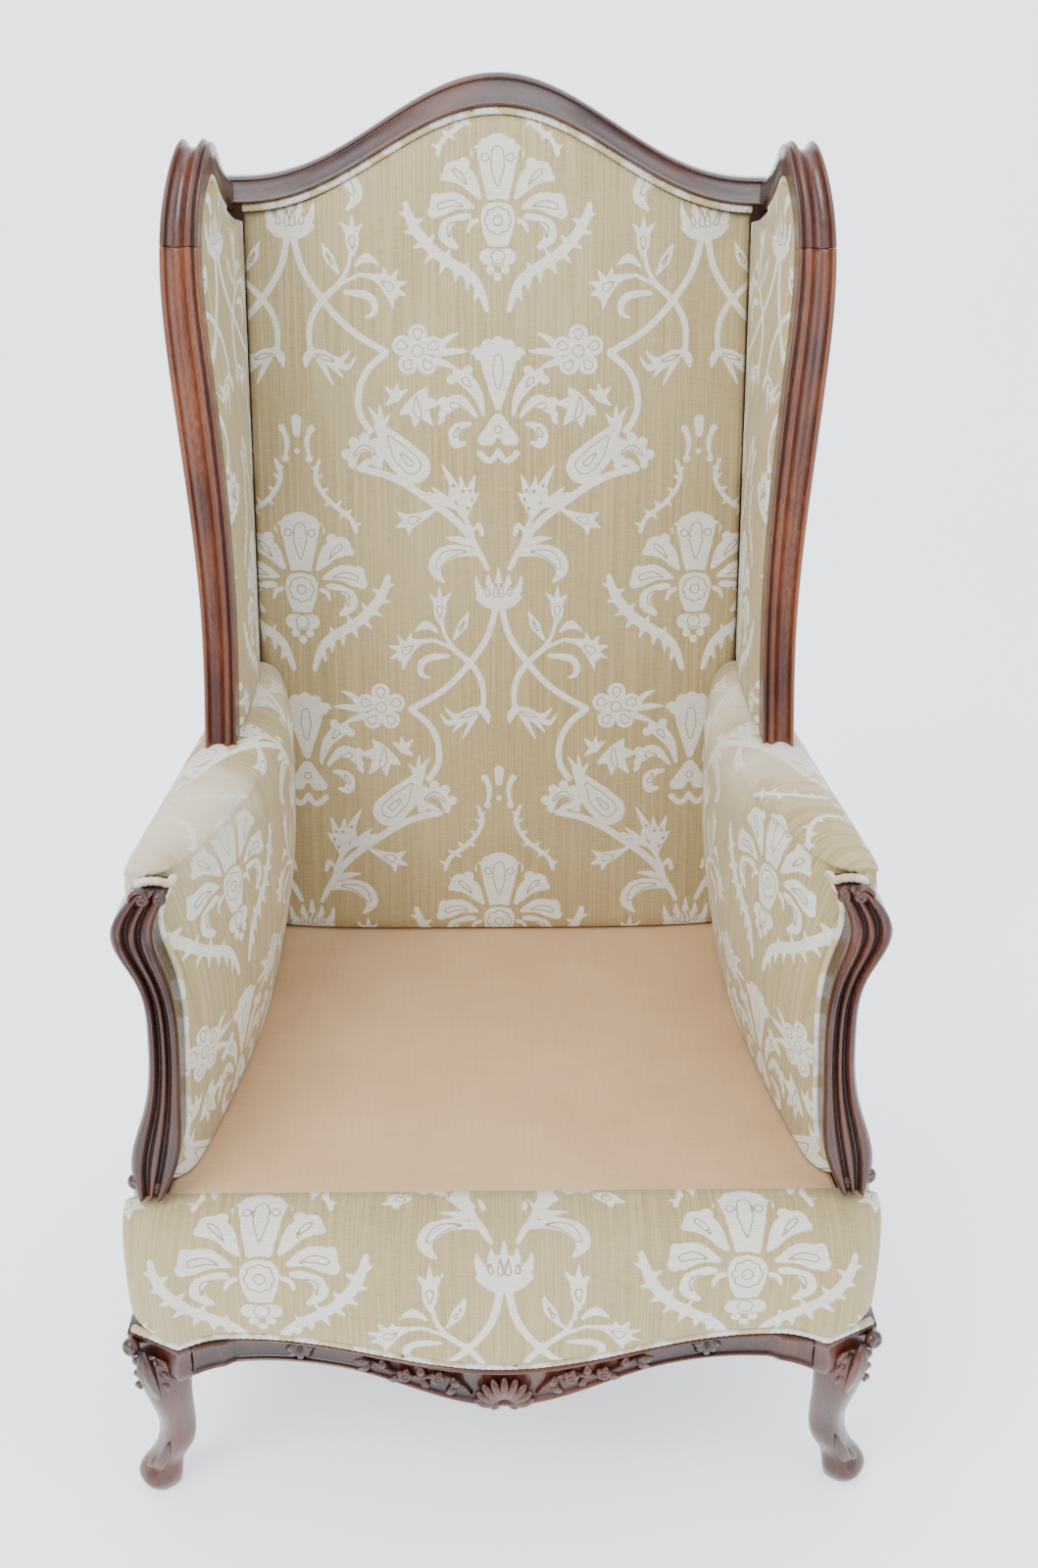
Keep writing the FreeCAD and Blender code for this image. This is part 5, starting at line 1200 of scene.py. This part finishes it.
def knees():
    """On each knee a rounded ear, an acanthus leaf with side lobes, and a scroll at the toe."""
    for side, hand in HANDS:
        flip = np.array([side, 1.0, 1.0])
        out, toe = flip * (0.45, -0.9, 0.15), flip * (0.35, -0.94, 0.0)
        grids = [knob(flip * (0.341, -0.347, 0.199), 0.0088, out, 0.8),
                 leaf(flip * [(0.327, -0.357, 0.204), (0.326, -0.361, 0.178), (0.317, -0.355, 0.138)],
                      0.0085, 0.0065, out)]
        for level in (0.194, 0.180, 0.166):
            for way in (-1, 1):
                start = flip * (0.3235 + 0.005 * way, -0.3565, level)
                end = start + flip * (way * 0.008, 0.003 + 0.002 * way, -0.013)
                mid = (start + end) / 2 + flip * (way * 0.003, -0.001, 0.001)
                grids.append(leaf([start, mid, end], 0.0045, 0.0034, out))
        grids += [knob(flip * (0.338, -0.332, 0.0125), 0.0095, toe, 0.6),
                  leaf(flip * [(0.338, -0.330, 0.022), (0.330, -0.336, 0.040), (0.318, -0.340, 0.072)],
                       0.0060, 0.0035, toe),
                  leaf(flip * [(0.344, -0.326, 0.020), (0.339, -0.331, 0.034), (0.328, -0.334, 0.050)],
                       0.0045, 0.0030, toe)]
        carved(f"knee_carving_{hand}", grids, f"front_leg_{hand}")


def scrolls():
    """The facing's scrolls: two eyes side by side at its top with a curl round the outer one, and two knobs
    at its foot."""
    y, low = float(facing_front(0.611)), float(facing_front(0.352)) + 0.001
    for side, hand in HANDS:
        flip = np.array([side, 1.0, 1.0])
        curl = flip * [(0.3175, y + 0.002, 0.600), (0.3225, y, 0.612),
                       (0.3135, y, 0.6195), (0.3045, y, 0.612)]
        grids = [knob(flip * (0.3105, y - 0.001, 0.6115), 0.0070, (0, -1, 0.12), 0.9),
                 knob(flip * (0.2965, y - 0.001, 0.6115), 0.0062, (0, -1, 0.12), 0.9),
                 leaf(curl, 0.0022, 0.0050, vein=0.0, blunt=0.3),
                 knob(flip * (0.3305, low, 0.3515), 0.0080, (side * 0.3, -1, 0), 0.8),
                 knob(flip * (0.3120, low, 0.3440), 0.0068, (0, -1, 0), 0.7)]
        carved(f"scroll_carving_{hand}", grids, f"arm_facing_{hand}")


# The rest of the frame keeps its meshes and takes a finish


KEPT = {"back_post": POST, "back_seat_rail": BEECH, "arm_post": BEECH, "arm_rail": BEECH,
        "arm_tack_rail": BEECH, "back_tack_rail": BEECH, "wing_tack_rail": BEECH, "corner_blocks": BEECH,
        "frame_dowels": BEECH, "block_screws": STEEL, "seat_webbing": JUTE, "back_webbing": JUTE,
        "arm_webbing": JUTE, "seat_springs": STEEL, "spring_hessian": HESSIAN, "seat_stuffing": HAIR,
        "dust_cover": DUST}


def finish_kept():
    """Give every carried-over node the finish its name calls for."""
    for node in bpy.data.objects:
        for start, finish in KEPT.items():
            if node.type == "MESH" and node.name.startswith(start):
                node.data.materials.clear()
                node.data.materials.append(finish)


# Stage


def floor():
    """A pale floor with a light of its own that curves up into a backdrop: a profile swept sideways."""
    turn = np.linspace(0, np.pi / 2, 24)
    y = np.concatenate([[-5.0, -1.0], 1.6 + 1.4 * np.sin(turn), [3.0]])
    z = np.concatenate([[0.0, 0.0], 1.4 - 1.4 * np.cos(turn), [5.0]])
    points = stack(np.array([[-5.0], [5.0]]), y, z)
    piece = lay("backdrop", points, points[..., :2], looped=False, capped=False)
    finish = Finish("studio_floor", rough=0.9, specular=0.1)
    spot = finish.noise(finish.place(), 1.2, 2.0, 0.5)
    finish.put("Base Color", spot.ramp(0.3, 0.7).blend(colour(244, 248, 252), colour(249, 251, 254)))
    finish.put("Emission Color", (0.95, 0.98, 1.0, 1.0))
    finish.put("Emission Strength", 0.8)
    piece.data.materials.append(finish.material)


def lamp(name, place, aim, size, power, tint=(1.0, 1.0, 1.0)):
    """A square soft light that looks at a point."""
    data = bpy.data.lights.new(name, "AREA")
    data.shape, data.size, data.energy, data.color = "SQUARE", size, power, tint
    made = bpy.data.objects.new(name, data)
    made.location = place
    made.rotation_euler = (Vector(aim) - Vector(place)).to_track_quat("-Z", "Y").to_euler()
    bpy.context.collection.objects.link(made)


def camera():
    """The camera at the photo's angle: a little left of the middle, at head height, looking down."""
    data = bpy.data.cameras.new("photo_view")
    data.lens, data.sensor_width = 37.93, 36.0
    made = bpy.data.objects.new("photo_view", data)
    tilt, yaw, roll = np.radians([25.74, 1.204, 0.299])
    ahead = np.array([np.sin(yaw) * np.cos(tilt), np.cos(yaw) * np.cos(tilt), -np.sin(tilt)])
    right = np.array([np.cos(yaw), -np.sin(yaw), 0.0])
    up = np.cross(right, ahead)
    side, head = np.cos(roll) * right + np.sin(roll) * up, np.cos(roll) * up - np.sin(roll) * right
    turn = Matrix(np.stack([side, head, -ahead], axis=1).tolist()).to_4x4()
    made.matrix_world = Matrix.Translation((-0.0128, -1.491, 1.321)) @ turn
    bpy.context.collection.objects.link(made)
    bpy.context.scene.camera = made


def stage():
    """Floor, a cool even sky, and three soft lights."""
    floor()
    world = bpy.data.worlds.new("studio")
    world.use_nodes = True
    sky = world.node_tree.nodes["Background"]
    sky.inputs["Color"].default_value = (0.82, 0.90, 1.0, 1.0)
    sky.inputs["Strength"].default_value = 1.3
    bpy.context.scene.world = world
    lamp("key", (-1.6, -1.9, 2.9), (0.0, 0.0, 0.6), 1.6, 85.0, (1.0, 0.97, 0.93))
    lamp("fill", (2.2, -1.7, 2.0), (0.0, 0.0, 0.6), 2.2, 36.0, (0.93, 0.96, 1.0))
    lamp("top", (0.0, 0.3, 3.4), (0.0, 0.0, 0.4), 2.4, 40.0)


for build in (inside_back, inside_wings, arm_pads, front_border, deck, outside_arms, outside_wings,
              outside_back, welts, wing_frames, crest, facings, front_apron, front_legs, side_rails,
              rail_carving, knees, scrolls):
    build()
finish_kept()
stage()
camera()
